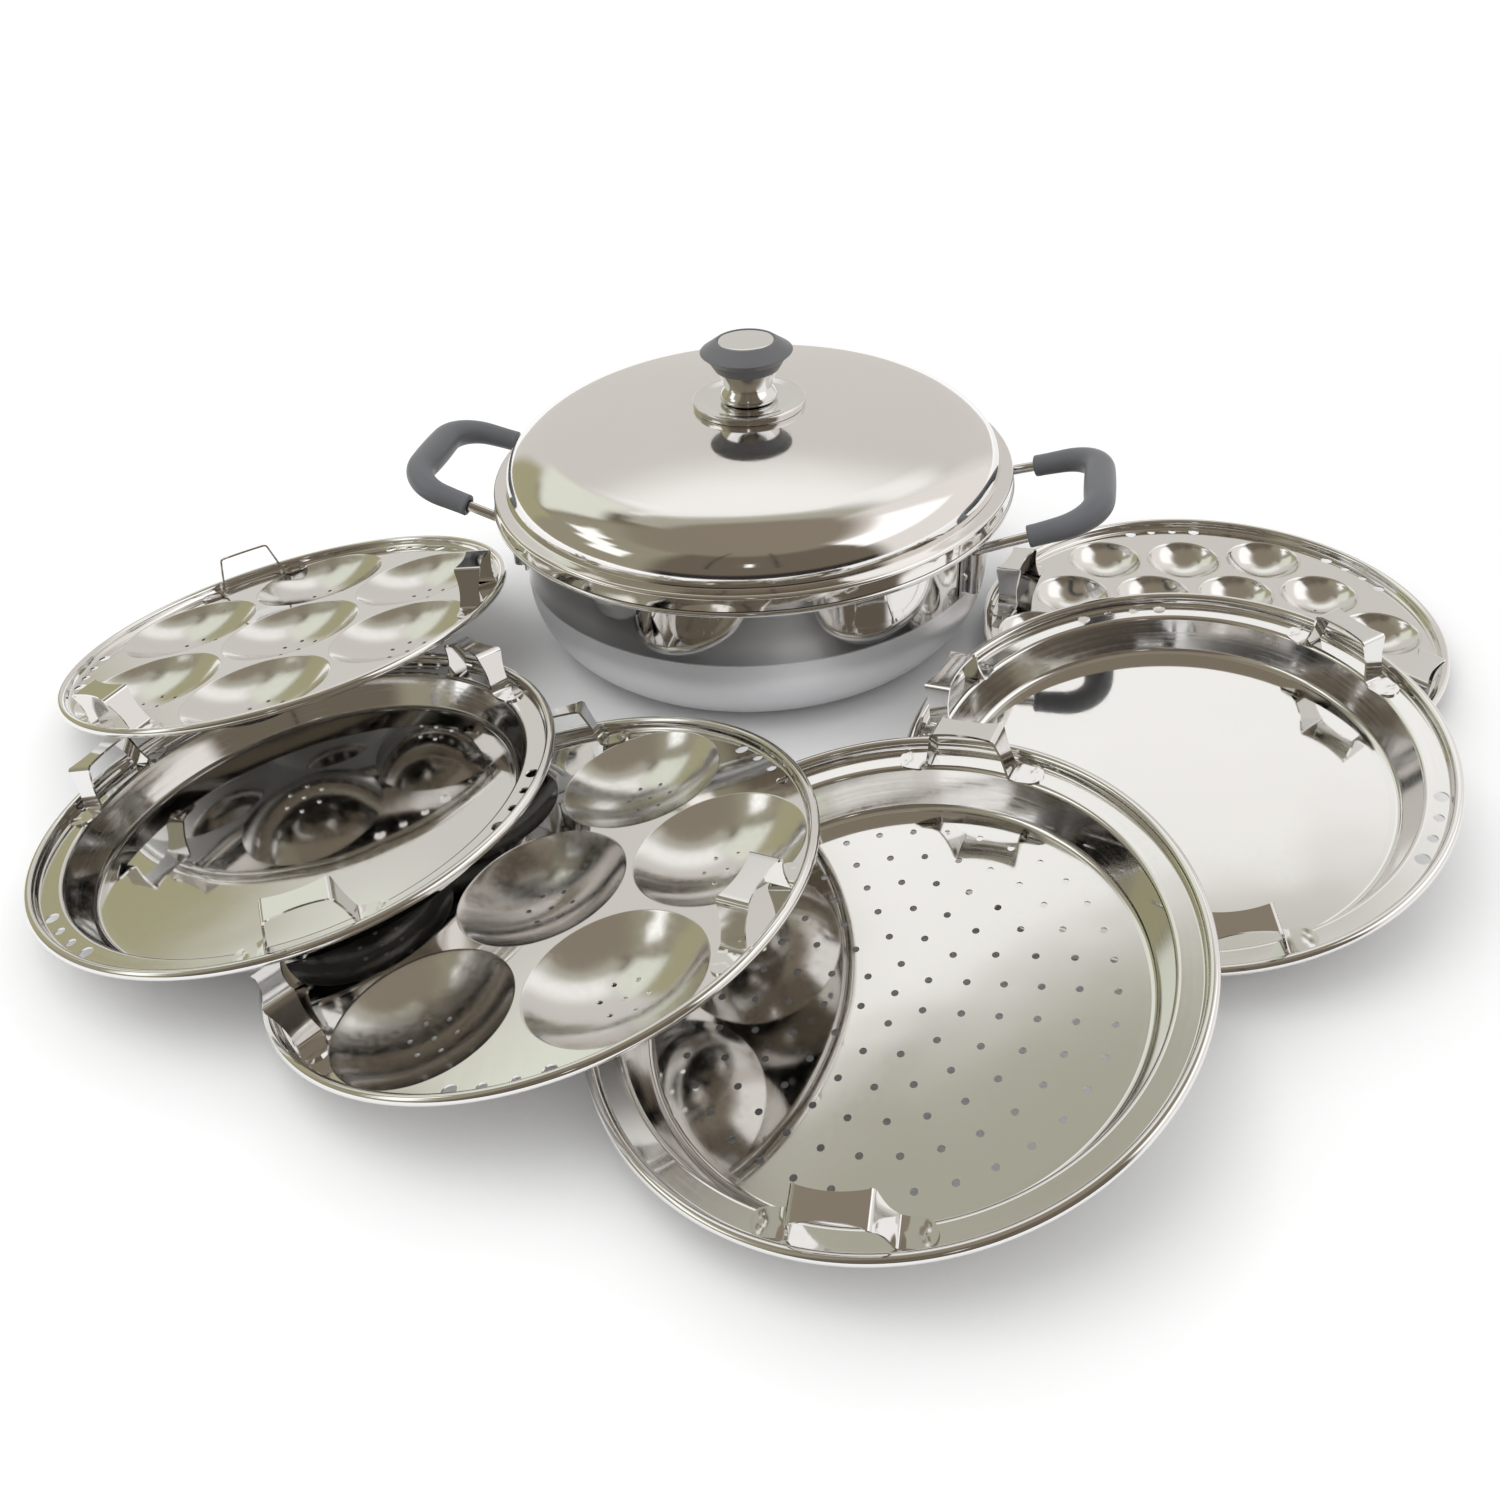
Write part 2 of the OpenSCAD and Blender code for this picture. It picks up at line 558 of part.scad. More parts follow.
lug_edge = concat(
    [[lug_foot_w / 2, -lug_reach], [lug_foot_w / 2, -lug_foot_y]],
    arc([lug_waist_w / 2 + lug_waist_r, 0], lug_waist_r, 180 + lug_waist_half, 180 - lug_waist_half, 6),
    [[lug_foot_w / 2, lug_foot_y], [lug_foot_w / 2, lug_reach]]
);
module lug_outline() difference() {
    polygon(concat(lug_edge, [for (p = backwards(lug_edge)) [-p[0], p[1]]]));
    for (side = [0, 1]) mirror([0, side]) translate([0, lug_reach - lug_foot_w / 2]) difference() {
        translate([-lug_foot_w, 0]) square([2 * lug_foot_w, lug_foot_w]);
        circle(lug_foot_w / 2, $fn = 40);
    }
}
lug_foot_run = lug_reach - lug_foot_y - 0.4;
module lug(angle) color(steel) rotate([0, 0, angle]) translate([lug_circle_r, 0, flange_top]) {
    // The arch leans outwards; its feet lie flat on the flange
    intersection() {
        translate([0, 0, lug_t / 2]) rotate([0, lug_splay, 0]) translate([0, 0, -lug_t / 2]) intersection() {
            rotate([90, 0, 90]) translate([0, 0, -lug_corner_w / 2]) linear_extrude(lug_corner_w)
                bent_sheet(concat(lug_side, [for (p = backwards(lug_side)) [-p[0], p[1]]]), lug_t);
            translate([0, 0, -1]) linear_extrude(lug_h + 2) intersection() {
                lug_outline();
                square([lug_corner_w, 2 * (lug_foot_y + 0.6)], center = true);
            }
        }
        translate([-lug_h, -lug_reach, 0]) cube([2 * lug_h, 2 * lug_reach, 2 * lug_h]);
    }
    difference() {
        linear_extrude(lug_t) difference() {
            lug_outline();
            square([lug_corner_w, 2 * (lug_reach - lug_foot_run)], center = true);
        }
        for (side = [-1, 1]) for (across = [-1, 1]) translate([
            across * 2.4, side * (lug_reach - lug_foot_w * 0.42), lug_t + weld_r * 0.7
        ]) sphere(weld_r, $fn = 16);
    }
}

pot_body();
handle_rod(0);  // handle_rod_right
handle_rod(180);  // handle_rod_left
handle_grip(0);  // handle_grip_right
handle_grip(180);  // handle_grip_left
brackets(0);  // brackets_right
brackets(180);  // brackets_left
rivets(0);  // rivets_right
rivets(180);  // rivets_left
lid_shell();
knob_skirt();
knob_neck();
knob_flare();
knob_cap();
knob_insert();
knob_screw();
knob_washer();
placed(idli_left_place, idli_left_angles) idli_plate();  // idli_plate_left
placed(idli_left_place, idli_left_angles) lug(idli_left_lugs[0]);  // idli_left_lug_1
placed(idli_left_place, idli_left_angles) lug(idli_left_lugs[1]);  // idli_left_lug_2
placed(idli_left_place, idli_left_angles) lug(idli_left_lugs[2]);  // idli_left_lug_3
placed(tray_left_place, tray_left_angles) tray();  // tray_left
placed(tray_left_place, tray_left_angles) lug(tray_left_lugs[0]);  // tray_left_lug_1
placed(tray_left_place, tray_left_angles) lug(tray_left_lugs[1]);  // tray_left_lug_2
placed(tray_left_place, tray_left_angles) lug(tray_left_lugs[2]);  // tray_left_lug_3
placed(idli_front_place, idli_front_angles) idli_plate();  // idli_plate_front
placed(idli_front_place, idli_front_angles) lug(idli_front_lugs[0]);  // idli_front_lug_1
placed(idli_front_place, idli_front_angles) lug(idli_front_lugs[1]);  // idli_front_lug_2
placed(idli_front_place, idli_front_angles) lug(idli_front_lugs[2]);  // idli_front_lug_3
placed(steam_tray_place, steam_tray_angles) steam_tray();
placed(steam_tray_place, steam_tray_angles) lug(steam_tray_lugs[0]);  // steam_tray_lug_1
placed(steam_tray_place, steam_tray_angles) lug(steam_tray_lugs[1]);  // steam_tray_lug_2
placed(tray_right_place, tray_right_angles) tray();  // tray_right
placed(tray_right_place, tray_right_angles) lug(tray_right_lugs[0]);  // tray_right_lug_1
placed(tray_right_place, tray_right_angles) lug(tray_right_lugs[1]);  // tray_right_lug_2
placed(tray_right_place, tray_right_angles) lug(tray_right_lugs[2]);  // tray_right_lug_3
placed(mini_place, mini_angles) mini_plate();
placed(mini_place, mini_angles) lug(mini_lugs[0]);  // mini_lug_1
placed(mini_place, mini_angles) lug(mini_lugs[1]);  // mini_lug_2
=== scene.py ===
import math

import bmesh
import bpy
from mathutils import Matrix, Vector


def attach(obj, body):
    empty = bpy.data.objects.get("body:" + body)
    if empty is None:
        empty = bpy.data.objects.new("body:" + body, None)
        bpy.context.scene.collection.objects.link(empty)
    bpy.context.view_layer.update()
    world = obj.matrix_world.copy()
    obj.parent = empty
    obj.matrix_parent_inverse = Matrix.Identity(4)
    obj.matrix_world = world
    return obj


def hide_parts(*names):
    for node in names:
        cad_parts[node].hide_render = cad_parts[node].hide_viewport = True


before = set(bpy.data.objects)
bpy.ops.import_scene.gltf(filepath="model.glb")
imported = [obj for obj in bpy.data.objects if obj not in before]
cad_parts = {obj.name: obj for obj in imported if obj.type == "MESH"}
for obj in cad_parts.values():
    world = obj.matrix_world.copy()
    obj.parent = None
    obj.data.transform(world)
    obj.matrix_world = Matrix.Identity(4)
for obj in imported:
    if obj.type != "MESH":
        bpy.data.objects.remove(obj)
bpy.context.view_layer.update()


# Camera. It stands in front of the set and looks down on it, as the photograph was taken.
# Its place, lens and slight roll were fitted to the rims of the pot and the plates.
def mm(*values):
    return Vector(v / 1000 for v in values)


camera_place = mm(4.54, -731.98, 451.07)
camera_pitch = math.radians(37.809)
camera_roll = math.radians(-3.002)
forward = Vector((0, math.cos(camera_pitch), -math.sin(camera_pitch)))
level_up = Vector((0, math.sin(camera_pitch), math.cos(camera_pitch)))
right = math.cos(camera_roll) * Vector((1, 0, 0)) + math.sin(camera_roll) * level_up
upward = -math.sin(camera_roll) * Vector((1, 0, 0)) + math.cos(camera_roll) * level_up
camera_data = bpy.data.cameras.new("camera")
camera_data.sensor_width = 36
camera_data.lens = 33.014
camera_data.shift_x = -0.0173
camera_data.shift_y = 0.0052
camera_data.clip_start = 0.01
camera_data.clip_end = 20
camera = bpy.data.objects.new("camera", camera_data)
turn = Matrix((right, upward, -forward)).transposed().to_4x4()
camera.matrix_world = Matrix.Translation(camera_place) @ turn
bpy.context.scene.collection.objects.link(camera)
bpy.context.scene.camera = camera
bpy.context.scene.view_settings.view_transform = "Standard"


# Studio. A white sheet on the floor and the room round it, which the steel mirrors: a dim ceiling, a pale
# backdrop with an olive corner on its left, a bright wall on the right, soft boxes, and a dark side behind
# the camera. One large lamp hangs over the set. The sheet's glow carries a painted shadow where things stand
# close over it.
def node_tree(owner):
    owner.use_nodes = True
    owner.node_tree.nodes.clear()
    return owner.node_tree, owner.node_tree.nodes.new


def maths(tree, operation, *values):
    node = tree.nodes.new("ShaderNodeMath")
    node.operation = operation
    for socket, value in zip(node.inputs, values):
        if isinstance(value, (int, float)):
            socket.default_value = value
        else:
            tree.links.new(value, socket)
    return node.outputs[0]


def mixed(tree, factor, first, second):
    node = tree.nodes.new("ShaderNodeMix")
    node.data_type = "RGBA"
    for socket, value in ((node.inputs[0], factor), (node.inputs[6], first), (node.inputs[7], second)):
        if isinstance(value, (int, float)):
            socket.default_value = value
        elif isinstance(value, tuple):
            socket.default_value = (*value, 1)
        else:
            tree.links.new(value, socket)
    return node.outputs[2]


def faded(tree, value, inner, outer):
    """1 where the value is below inner, falling smoothly to 0 at outer."""
    node = tree.nodes.new("ShaderNodeMapRange")
    node.interpolation_type = "SMOOTHSTEP"
    tree.links.new(value, node.inputs["Value"])
    node.inputs["From Min"].default_value = inner
    node.inputs["From Max"].default_value = outer
    node.inputs["To Min"].default_value = 1
    node.inputs["To Max"].default_value = 0
    return node.outputs["Result"]


# What stands in the room: its middle and half size in degrees, seen from the set (turned from the
# backdrop towards the right, then up), how soft its edge is, and its colour
dark_side = (0.165, 0.138, 0.105)
room_things = (
    ("ceiling", 0, 90, 400, 30, 10, (0.28, 0.24, 0.185)),
    ("ceiling_edge", 0, 61, 50, 5, 5, (0.46, 0.45, 0.37)),
    ("dark_floor_left", -180, -4, 62, 9, 7, (0.035, 0.03, 0.03)),
    ("dark_floor_right", 180, -4, 62, 9, 7, (0.035, 0.03, 0.03)),
    ("left_wall", -95, 10, 38, 50, 14, (0.34, 0.315, 0.235)),
    ("backdrop", 4, 0, 44, 56, 8, (0.71, 0.685, 0.65)),
    ("left_corner", -50, 4, 18, 22, 6, (0.42, 0.40, 0.25)),
    ("left_panel", -42, 39, 15, 12, 5, (0.84, 0.87, 0.76)),
    ("right_wall", 84, 10, 40, 54, 12, (0.92, 0.88, 0.85)),
    ("light_strip", -8, 54.2, 26, 1.8, 3, (0.96, 0.95, 0.90)),
    ("front_box", 10, 48, 34, 8, 12, (1.07, 1.06, 1.04)),
    ("left_box_high", -80, 42, 9, 6, 4, (1.30, 1.31, 1.28)),
    ("left_box_middle", -94, 35, 9, 6, 4, (1.30, 1.31, 1.28)),
    ("left_box_low", -108, 27, 9, 8, 4, (1.30, 1.30, 1.26)),
    ("right_box", 95, 47, 32, 13, 5, (1.32, 1.31, 1.31)),
    ("rail_left", -157, 46, 0.9, 24, 1.2, (0.07, 0.06, 0.05)),
    ("rail_right", 171, 44, 0.9, 22, 1.2, (0.07, 0.06, 0.05)),
    ("small_lamp", -176, 33, 1.8, 4.5, 2, (1.40, 1.40, 1.38)),
)
world = bpy.data.worlds.new("room")
bpy.context.scene.world = world
tree, new = node_tree(world)
axes = new("ShaderNodeSeparateXYZ")
tree.links.new(new("ShaderNodeTexCoord").outputs["Generated"], axes.inputs[0])
degree = 180 / math.pi
across = maths(tree, "MULTIPLY", maths(tree, "ARCTAN2", axes.outputs["X"], axes.outputs["Y"]), degree)
up = maths(tree, "MULTIPLY", maths(tree, "ARCSINE", axes.outputs["Z"]), degree)
mirrored = mixed(tree, 0.0, dark_side, dark_side)
for _, thing_across, thing_up, half_width, half_height, edge, colour in room_things:
    beside_it = maths(tree, "ABSOLUTE", maths(tree, "SUBTRACT", across, thing_across))
    above_it = maths(tree, "ABSOLUTE", maths(tree, "SUBTRACT", up, thing_up))
    inside = maths(
        tree, "MULTIPLY",
        faded(tree, beside_it, half_width - edge / 2, half_width + edge / 2),
        faded(tree, above_it, half_height - edge / 2, half_height + edge / 2),
    )
    mirrored = mixed(tree, inside, mirrored, colour)
path = new("ShaderNodeLightPath")
soft = mixed(tree, path.outputs["Is Diffuse Ray"], mirrored, (0.72, 0.72, 0.72))
seen = mixed(tree, path.outputs["Is Camera Ray"], soft, (1.0, 1.0, 1.0))
background = new("ShaderNodeBackground")
tree.links.new(seen, background.inputs["Color"])
tree.links.new(background.outputs[0], new("ShaderNodeOutputWorld").inputs["Surface"])

floor_mesh = bpy.data.meshes.new("floor")
sheet_half_width, sheet_front, sheet_back = 2.2, -0.95, 3.5
sheet_corners = [(x, y, 0) for x, y in (
    (-sheet_half_width, sheet_front), (sheet_half_width, sheet_front),
    (sheet_half_width, sheet_back), (-sheet_half_width, sheet_back),
)]
floor_mesh.from_pydata(sheet_corners, [], [(0, 1, 2, 3)])
floor = bpy.data.objects.new("floor", floor_mesh)
bpy.context.scene.collection.objects.link(floor)
floor_material = bpy.data.materials.new("white_sheet")
tree, new = node_tree(floor_material)
paper = new("ShaderNodeBsdfDiffuse")
paper.inputs["Color"].default_value = (0.82, 0.82, 0.82, 1)
path = new("ShaderNodeLightPath")
glow = new("ShaderNodeEmission")
mirrored_too = maths(tree, "MAXIMUM", path.outputs["Is Glossy Ray"], path.outputs["Is Transmission Ray"])
shown = maths(tree, "MAXIMUM", path.outputs["Is Camera Ray"], mirrored_too)
spot = new("ShaderNodeVectorMath")
spot.operation = "LENGTH"
tree.links.new(new("ShaderNodeTexCoord").outputs["Object"], spot.inputs[0])
near = faded(tree, spot.outputs["Value"], 0.5, 1.5)
evenly = maths(tree, "MULTIPLY_ADD", near, -0.22, 0.52)
# Painted shadow: the sheet's glow is dimmed by ambient occlusion where the plates and the pot stand close over
# it.
painted_shadow_ao = new("ShaderNodeAmbientOcclusion")
painted_shadow_ao.samples = 6
painted_shadow_ao.inputs["Distance"].default_value = 0.07
unshaded = maths(tree, "POWER", painted_shadow_ao.outputs["AO"], 1.6)
sheet_glow = maths(tree, "MULTIPLY", shown, maths(tree, "MULTIPLY", evenly, unshaded))
tree.links.new(sheet_glow, glow.inputs["Strength"])
both = new("ShaderNodeAddShader")
tree.links.new(paper.outputs[0], both.inputs[0])
tree.links.new(glow.outputs[0], both.inputs[1])
tree.links.new(both.outputs[0], new("ShaderNodeOutputMaterial").inputs["Surface"])
floor_mesh.materials.append(floor_material)

lamp_place, lamp_aim = Vector((-0.5, -0.3, 1.5)), Vector((0, -0.1, 0))
lamp_data = bpy.data.lights.new("lamp_over", "AREA")
lamp_data.size = 1.2
lamp_data.energy = 7
lamp = bpy.data.objects.new("lamp_over", lamp_data)
lamp.location = lamp_place
lamp.rotation_euler = (lamp_aim - lamp_place).to_track_quat("-Z", "Y").to_euler()
lamp.visible_glossy = False
bpy.context.scene.collection.objects.link(lamp)


# Pot. One sheet of stainless steel, spun to a round bottom and an upright wall, with a flared rolled rim.
# The wall and rim are polished to a mirror, and the round bottom is left satin; the wall just above the satin
# carries a band of painted shade.
def arc(centre, radius, start, end, steps):
    angles = [math.radians(start + (end - start) * i / steps) for i in range(steps + 1)]
    return [(centre[0] + radius * math.cos(a), centre[1] + radius * math.sin(a)) for a in angles]


def beside(path, gap):
    line = []
    for i, point in enumerate(path):
        before = path[max(i - 1, 0)], path[max(i, 1)]
        after = path[min(i, len(path) - 2)], path[min(i + 1, len(path) - 1)]
        normals = []
        for a, b in (before, after):
            run = math.hypot(b[0] - a[0], b[1] - a[1])
            normals.append(((a[1] - b[1]) / run, (b[0] - a[0]) / run))
        both = normals[0][0] + normals[1][0], normals[0][1] + normals[1][1]
        reach = 2 * gap / (both[0] ** 2 + both[1] ** 2)
        line.append((point[0] + both[0] * reach, point[1] + both[1] * reach))
    return line


def sheet_outline(path, thickness):
    outline = beside(path, thickness / 2) + beside(path, -thickness / 2)[::-1]
    return [(max(r, 0), z) for r, z in outline]


def spun(build, outline, steps=240, place=Matrix.Identity(4)):
    """Turns a closed outline of (radius, height) points in millimetres round the Z axis, into a bmesh."""
    rings = []
    for radius, height in outline:
        turns = 1 if radius < 1e-6 else steps
        rings.append([
            build.verts.new(place @ Vector((
                radius / 1000 * math.cos(math.tau * k / steps),
                radius / 1000 * math.sin(math.tau * k / steps),
                height / 1000,
            )))
            for k in range(turns)
        ])
    for ring, after in zip(rings, rings[1:] + rings[:1]):
        if len(ring) == 1 and len(after) == 1:
            continue
        for k in range(steps):
            n = (k + 1) % steps
            corners = [ring[k % len(ring)], ring[n % len(ring)], after[n % len(after)], after[k % len(after)]]
            corners = list(dict.fromkeys(corners))
            build.faces.new(corners)


def steel_piece(name, build, material, crease=38):
    bmesh.ops.recalc_face_normals(build, faces=build.faces)
    mesh = bpy.data.meshes.new(name)
    build.to_mesh(mesh)
    build.free()
    mesh.polygons.foreach_set("use_smooth", [True] * len(mesh.polygons))
    mesh.set_sharp_from_angle(angle=math.radians(crease))
    mesh.materials.append(material)
    piece = bpy.data.objects.new(name, mesh)
    bpy.context.scene.collection.objects.link(piece)
    return piece


# The last grey is painted shade: the band of mirror wall just above the satin line is darkened towards it.
satin_rough, satin_grey, reflected_shade_grey = 0.33, (0.82, 0.825, 0.845), (0.40, 0.40, 0.41)


def steel(name, colour, smooth, rough, wave=0.00035, satin_below=None, streaks=False):
    """Polished stainless steel, with the faint waves of pressed sheet and fine polishing marks.

    Below the height satin_below it is left satin, and just above that height its colour darkens towards grey, a
    painted reflection of the shaded floor. Streaks are the fine rings of a spun tray's wall.
    """
    material = bpy.data.materials.new(name)
    tree, new = node_tree(material)
    coords = new("ShaderNodeTexCoord")
    surface = new("ShaderNodeBsdfPrincipled")
    surface.inputs["Metallic"].default_value = 1
    tint = new("ShaderNodeTexNoise")
    tint.inputs["Scale"].default_value = 14
    tree.links.new(coords.outputs["Object"], tint.inputs["Vector"])
    shades = new("ShaderNodeMix")
    shades.data_type = "RGBA"
    tree.links.new(tint.outputs["Fac"], shades.inputs["Factor"])
    shades.inputs["A"].default_value = (*[c * 0.96 for c in colour], 1)
    shades.inputs["B"].default_value = (*colour, 1)
    tree.links.new(shades.outputs["Result"], surface.inputs["Base Color"])
    marks = new("ShaderNodeTexNoise")
    marks.inputs["Scale"].default_value = 320
    marks.inputs["Detail"].default_value = 3
    tree.links.new(coords.outputs["Object"], marks.inputs["Vector"])
    polish = new("ShaderNodeMapRange")
    polish.inputs["From Min"].default_value = 0.35
    polish.inputs["From Max"].default_value = 0.65
    polish.inputs["To Min"].default_value = smooth
    polish.inputs["To Max"].default_value = rough
    tree.links.new(marks.outputs["Fac"], polish.inputs["Value"])
    roughness = polish.outputs["Result"]
    if satin_below is not None:
        axes = new("ShaderNodeSeparateXYZ")
        tree.links.new(coords.outputs["Object"], axes.inputs[0])
        edge = new("ShaderNodeMapRange")
        edge.inputs["From Min"].default_value = satin_below - 0.0007
        edge.inputs["From Max"].default_value = satin_below + 0.0007
        edge.inputs["To Min"].default_value = 1
        edge.inputs["To Max"].default_value = 0
        tree.links.new(axes.outputs["Z"], edge.inputs["Value"])
        blend = new("ShaderNodeMix")
        tree.links.new(edge.outputs["Result"], blend.inputs["Factor"])
        tree.links.new(roughness, blend.inputs["A"])
        blend.inputs["B"].default_value = satin_rough
        roughness = blend.outputs["Result"]
        # Painted shade: just above the satin line the colour is darkened towards grey, standing in for the
        # reflection of the shaded floor.
        painted_shade_fade = faded(tree, axes.outputs["Z"], satin_below - 0.002, satin_below + 0.014)
        painted_shade_base = mixed(tree, painted_shade_fade, shades.outputs["Result"], reflected_shade_grey)
        tree.links.new(mixed(tree, edge.outputs["Result"], painted_shade_base, satin_grey), surface.inputs["Base Color"])
        metal_share = maths(tree, "MULTIPLY_ADD", edge.outputs["Result"], -0.4, 1.0)
        tree.links.new(metal_share, surface.inputs["Metallic"])
    if streaks:
        lie = new("ShaderNodeAttribute")
        lie.attribute_name = "lie"
        lie_axes = new("ShaderNodeSeparateXYZ")
        tree.links.new(lie.outputs["Vector"], lie_axes.inputs[0])
        out_from = maths(tree, "SQRT", maths(
            tree, "ADD",
            maths(tree, "POWER", lie_axes.outputs["X"], 2.0), maths(tree, "POWER", lie_axes.outputs["Y"], 2.0),
        ))
        ring = new("ShaderNodeCombineXYZ")
        tree.links.new(out_from, ring.inputs[0])
        tree.links.new(maths(tree, "MULTIPLY", lie_axes.outputs["X"], 0.02), ring.inputs[1])
        tree.links.new(lie_axes.outputs["Z"], ring.inputs[2])
        rings = new("ShaderNodeTexNoise")
        rings.inputs["Scale"].default_value = 900
        rings.inputs["Detail"].default_value = 2
        tree.links.new(ring.outputs[0], rings.inputs["Vector"])
        brushed = maths(tree, "MAXIMUM", maths(tree, "MULTIPLY_ADD", rings.outputs["Fac"], 0.2, -0.06), 0.0)
        on_wall = maths(tree, "GREATER_THAN", out_from, 0.1)
        roughness = maths(tree, "MULTIPLY_ADD", brushed, on_wall, roughness)
    tree.links.new(roughness, surface.inputs["Roughness"])
    waves = new("ShaderNodeTexNoise")
    waves.inputs["Scale"].default_value = 22
    waves.inputs["Detail"].default_value = 1
    tree.links.new(coords.outputs["Object"], waves.inputs["Vector"])
    bump = new("ShaderNodeBump")
    bump.inputs["Distance"].default_value = wave
    bump.inputs["Strength"].default_value = 0.5
    tree.links.new(waves.outputs["Fac"], bump.inputs["Height"])
    tree.links.new(bump.outputs["Normal"], surface.inputs["Normal"])
    out = new("ShaderNodeOutputMaterial")
    tree.links.new(surface.outputs[0], out.inputs["Surface"])
    return material


pot_sheet, pot_wall_r = 1.0, 136.5
pot_rim_z, pot_bead_r, pot_bead_mid_r = 89.0, 1.6, 148.4
pot_arc, pot_flare = 42.0, 9.0
pot_flare_z = pot_rim_z - 0.2 - pot_flare
pot_satin_z = 0.050
pot_path = [(0, pot_sheet / 2), (60, pot_sheet / 2)]
pot_path += arc((pot_wall_r - pot_arc, pot_arc), pot_arc - pot_sheet / 2, -90, 0, 44)
pot_path += [(pot_wall_r - pot_sheet / 2, z) for z in (50, 60, 70)]
pot_path += arc((pot_wall_r - pot_sheet / 2 + pot_flare, pot_flare_z), pot_flare, 180, 90, 20)
pot_path.append((pot_bead_mid_r, pot_rim_z))
pot_material = steel("pot_polished", (0.76, 0.755, 0.75), 0.04, 0.07, satin_below=pot_satin_z)
build = bmesh.new()
spun(build, sheet_outline(pot_path, pot_sheet))
spun(build, arc((pot_bead_mid_r, pot_rim_z), pot_bead_r, 0, 337.5, 15))
pot = steel_piece("pot_shell", build, pot_material)
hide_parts("pot_body")
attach(pot, "pot")


# Lid. A pressed dome of mirror-polished steel, rounder towards its edge, with a stepped band at its foot.
# The band sits on the pot's rim.
lid_sheet = 0.9
lid_top_z, lid_dome_r = 136.4, 141.3
lid_band_r, lid_band_z, lid_bottom_z = 148.9, 99.2, 91.0
lid_crown, crown_slope = 607.0, math.radians(10.5)
lid_haunch, haunch_slope = 55.0, math.radians(36.4)
haunch_r = (lid_crown - lid_haunch) * math.sin(crown_slope)
haunch_z = lid_top_z - lid_crown + (lid_crown - lid_haunch) * math.cos(crown_slope)
lid_shoulder = (lid_dome_r - haunch_r - lid_haunch * math.sin(haunch_slope)) / (1 - math.sin(haunch_slope))
shoulder_r = haunch_r + (lid_haunch - lid_shoulder) * math.sin(haunch_slope)
shoulder_z = haunch_z + (lid_haunch - lid_shoulder) * math.cos(haunch_slope)
lid_path = arc((0, lid_top_z - lid_crown), lid_crown - lid_sheet / 2, 90, 79.5, 40)
lid_path += arc((haunch_r, haunch_z), lid_haunch - lid_sheet / 2, 79, 53.6, 24)
lid_path += arc((shoulder_r, shoulder_z), lid_shoulder - lid_sheet / 2, 52, 0, 24)
lid_path += [
    (lid_dome_r - lid_sheet / 2, lid_band_z + 0.6), (lid_dome_r - 0.2, lid_band_z),
    (lid_dome_r + 0.6, lid_band_z - lid_sheet / 2), (lid_band_r - 2.2, lid_band_z - lid_sheet / 2),
]
lid_path += arc((lid_band_r - 2.0, lid_band_z - 2.0), 2.0 - lid_sheet / 2, 80, 0, 6)
lid_path += [(lid_band_r - lid_sheet / 2, lid_bottom_z + 2), (lid_band_r - lid_sheet / 2, lid_bottom_z)]
lid_material = steel("lid_polished", (0.83, 0.81, 0.79), 0.06, 0.10)
build = bmesh.new()
spun(build, sheet_outline(lid_path, lid_sheet))
lid = steel_piece("lid_dome", build, lid_material)
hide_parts("lid_shell")
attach(lid, "lid")


# Knob. A steel skirt disc, a bulged neck and a flared cup, turned and polished, under a cap of
# grey soft-touch plastic with a steel disc let into its top. One screw holds it to the lid.
def soft_grey(name, colour, rough):
    material = bpy.data.materials.new(name)
    tree, new = node_tree(material)
    coords = new("ShaderNodeTexCoord")
    surface = new("ShaderNodeBsdfPrincipled")
    surface.inputs["Specular IOR Level"].default_value = 0.35
    surface.inputs["Sheen Weight"].default_value = 0.12
    tone = new("ShaderNodeTexNoise")
    tone.inputs["Scale"].default_value = 40
    tree.links.new(coords.outputs["Object"], tone.inputs["Vector"])
    shades = new("ShaderNodeMix")
    shades.data_type = "RGBA"
    tree.links.new(tone.outputs["Fac"], shades.inputs["Factor"])
    shades.inputs["A"].default_value = (*[c * 0.88 for c in colour], 1)
    shades.inputs["B"].default_value = (*[c * 1.1 for c in colour], 1)
    tree.links.new(shades.outputs["Result"], surface.inputs["Base Color"])
    grain = new("ShaderNodeTexNoise")
    grain.inputs["Scale"].default_value = 2600
    tree.links.new(coords.outputs["Object"], grain.inputs["Vector"])
    finish = new("ShaderNodeMapRange")
    finish.inputs["To Min"].default_value = rough - 0.06
    finish.inputs["To Max"].default_value = rough + 0.06
    tree.links.new(grain.outputs["Fac"], finish.inputs["Value"])
    tree.links.new(finish.outputs["Result"], surface.inputs["Roughness"])
    bump = new("ShaderNodeBump")
    bump.inputs["Distance"].default_value = 0.00006
    bump.inputs["Strength"].default_value = 0.4
    tree.links.new(grain.outputs["Fac"], bump.inputs["Height"])
    tree.links.new(bump.outputs["Normal"], surface.inputs["Normal"])
    out = new("ShaderNodeOutputMaterial")
    tree.links.new(surface.outputs[0], out.inputs["Surface"])
    return material


def eased(points, reach):
    """Rounds the corners of an outline of straight runs, each over the same short reach."""
    line = [points[0]]
    for before, corner, after in zip(points, points[1:], points[2:]):
        ends = []
        for other in (before, after):
            share = min(reach / math.dist(corner, other), 0.45)
            ends.append([c + (o - c) * share for c, o in zip(corner, other)])
        for t in (0, 0.25, 0.5, 0.75, 1):
            line.append(tuple(
                a * (1 - t) ** 2 + c * 2 * t * (1 - t) + b * t**2 for a, c, b in zip(ends[0], corner, ends[1])
            ))
    return line + [points[-1]]


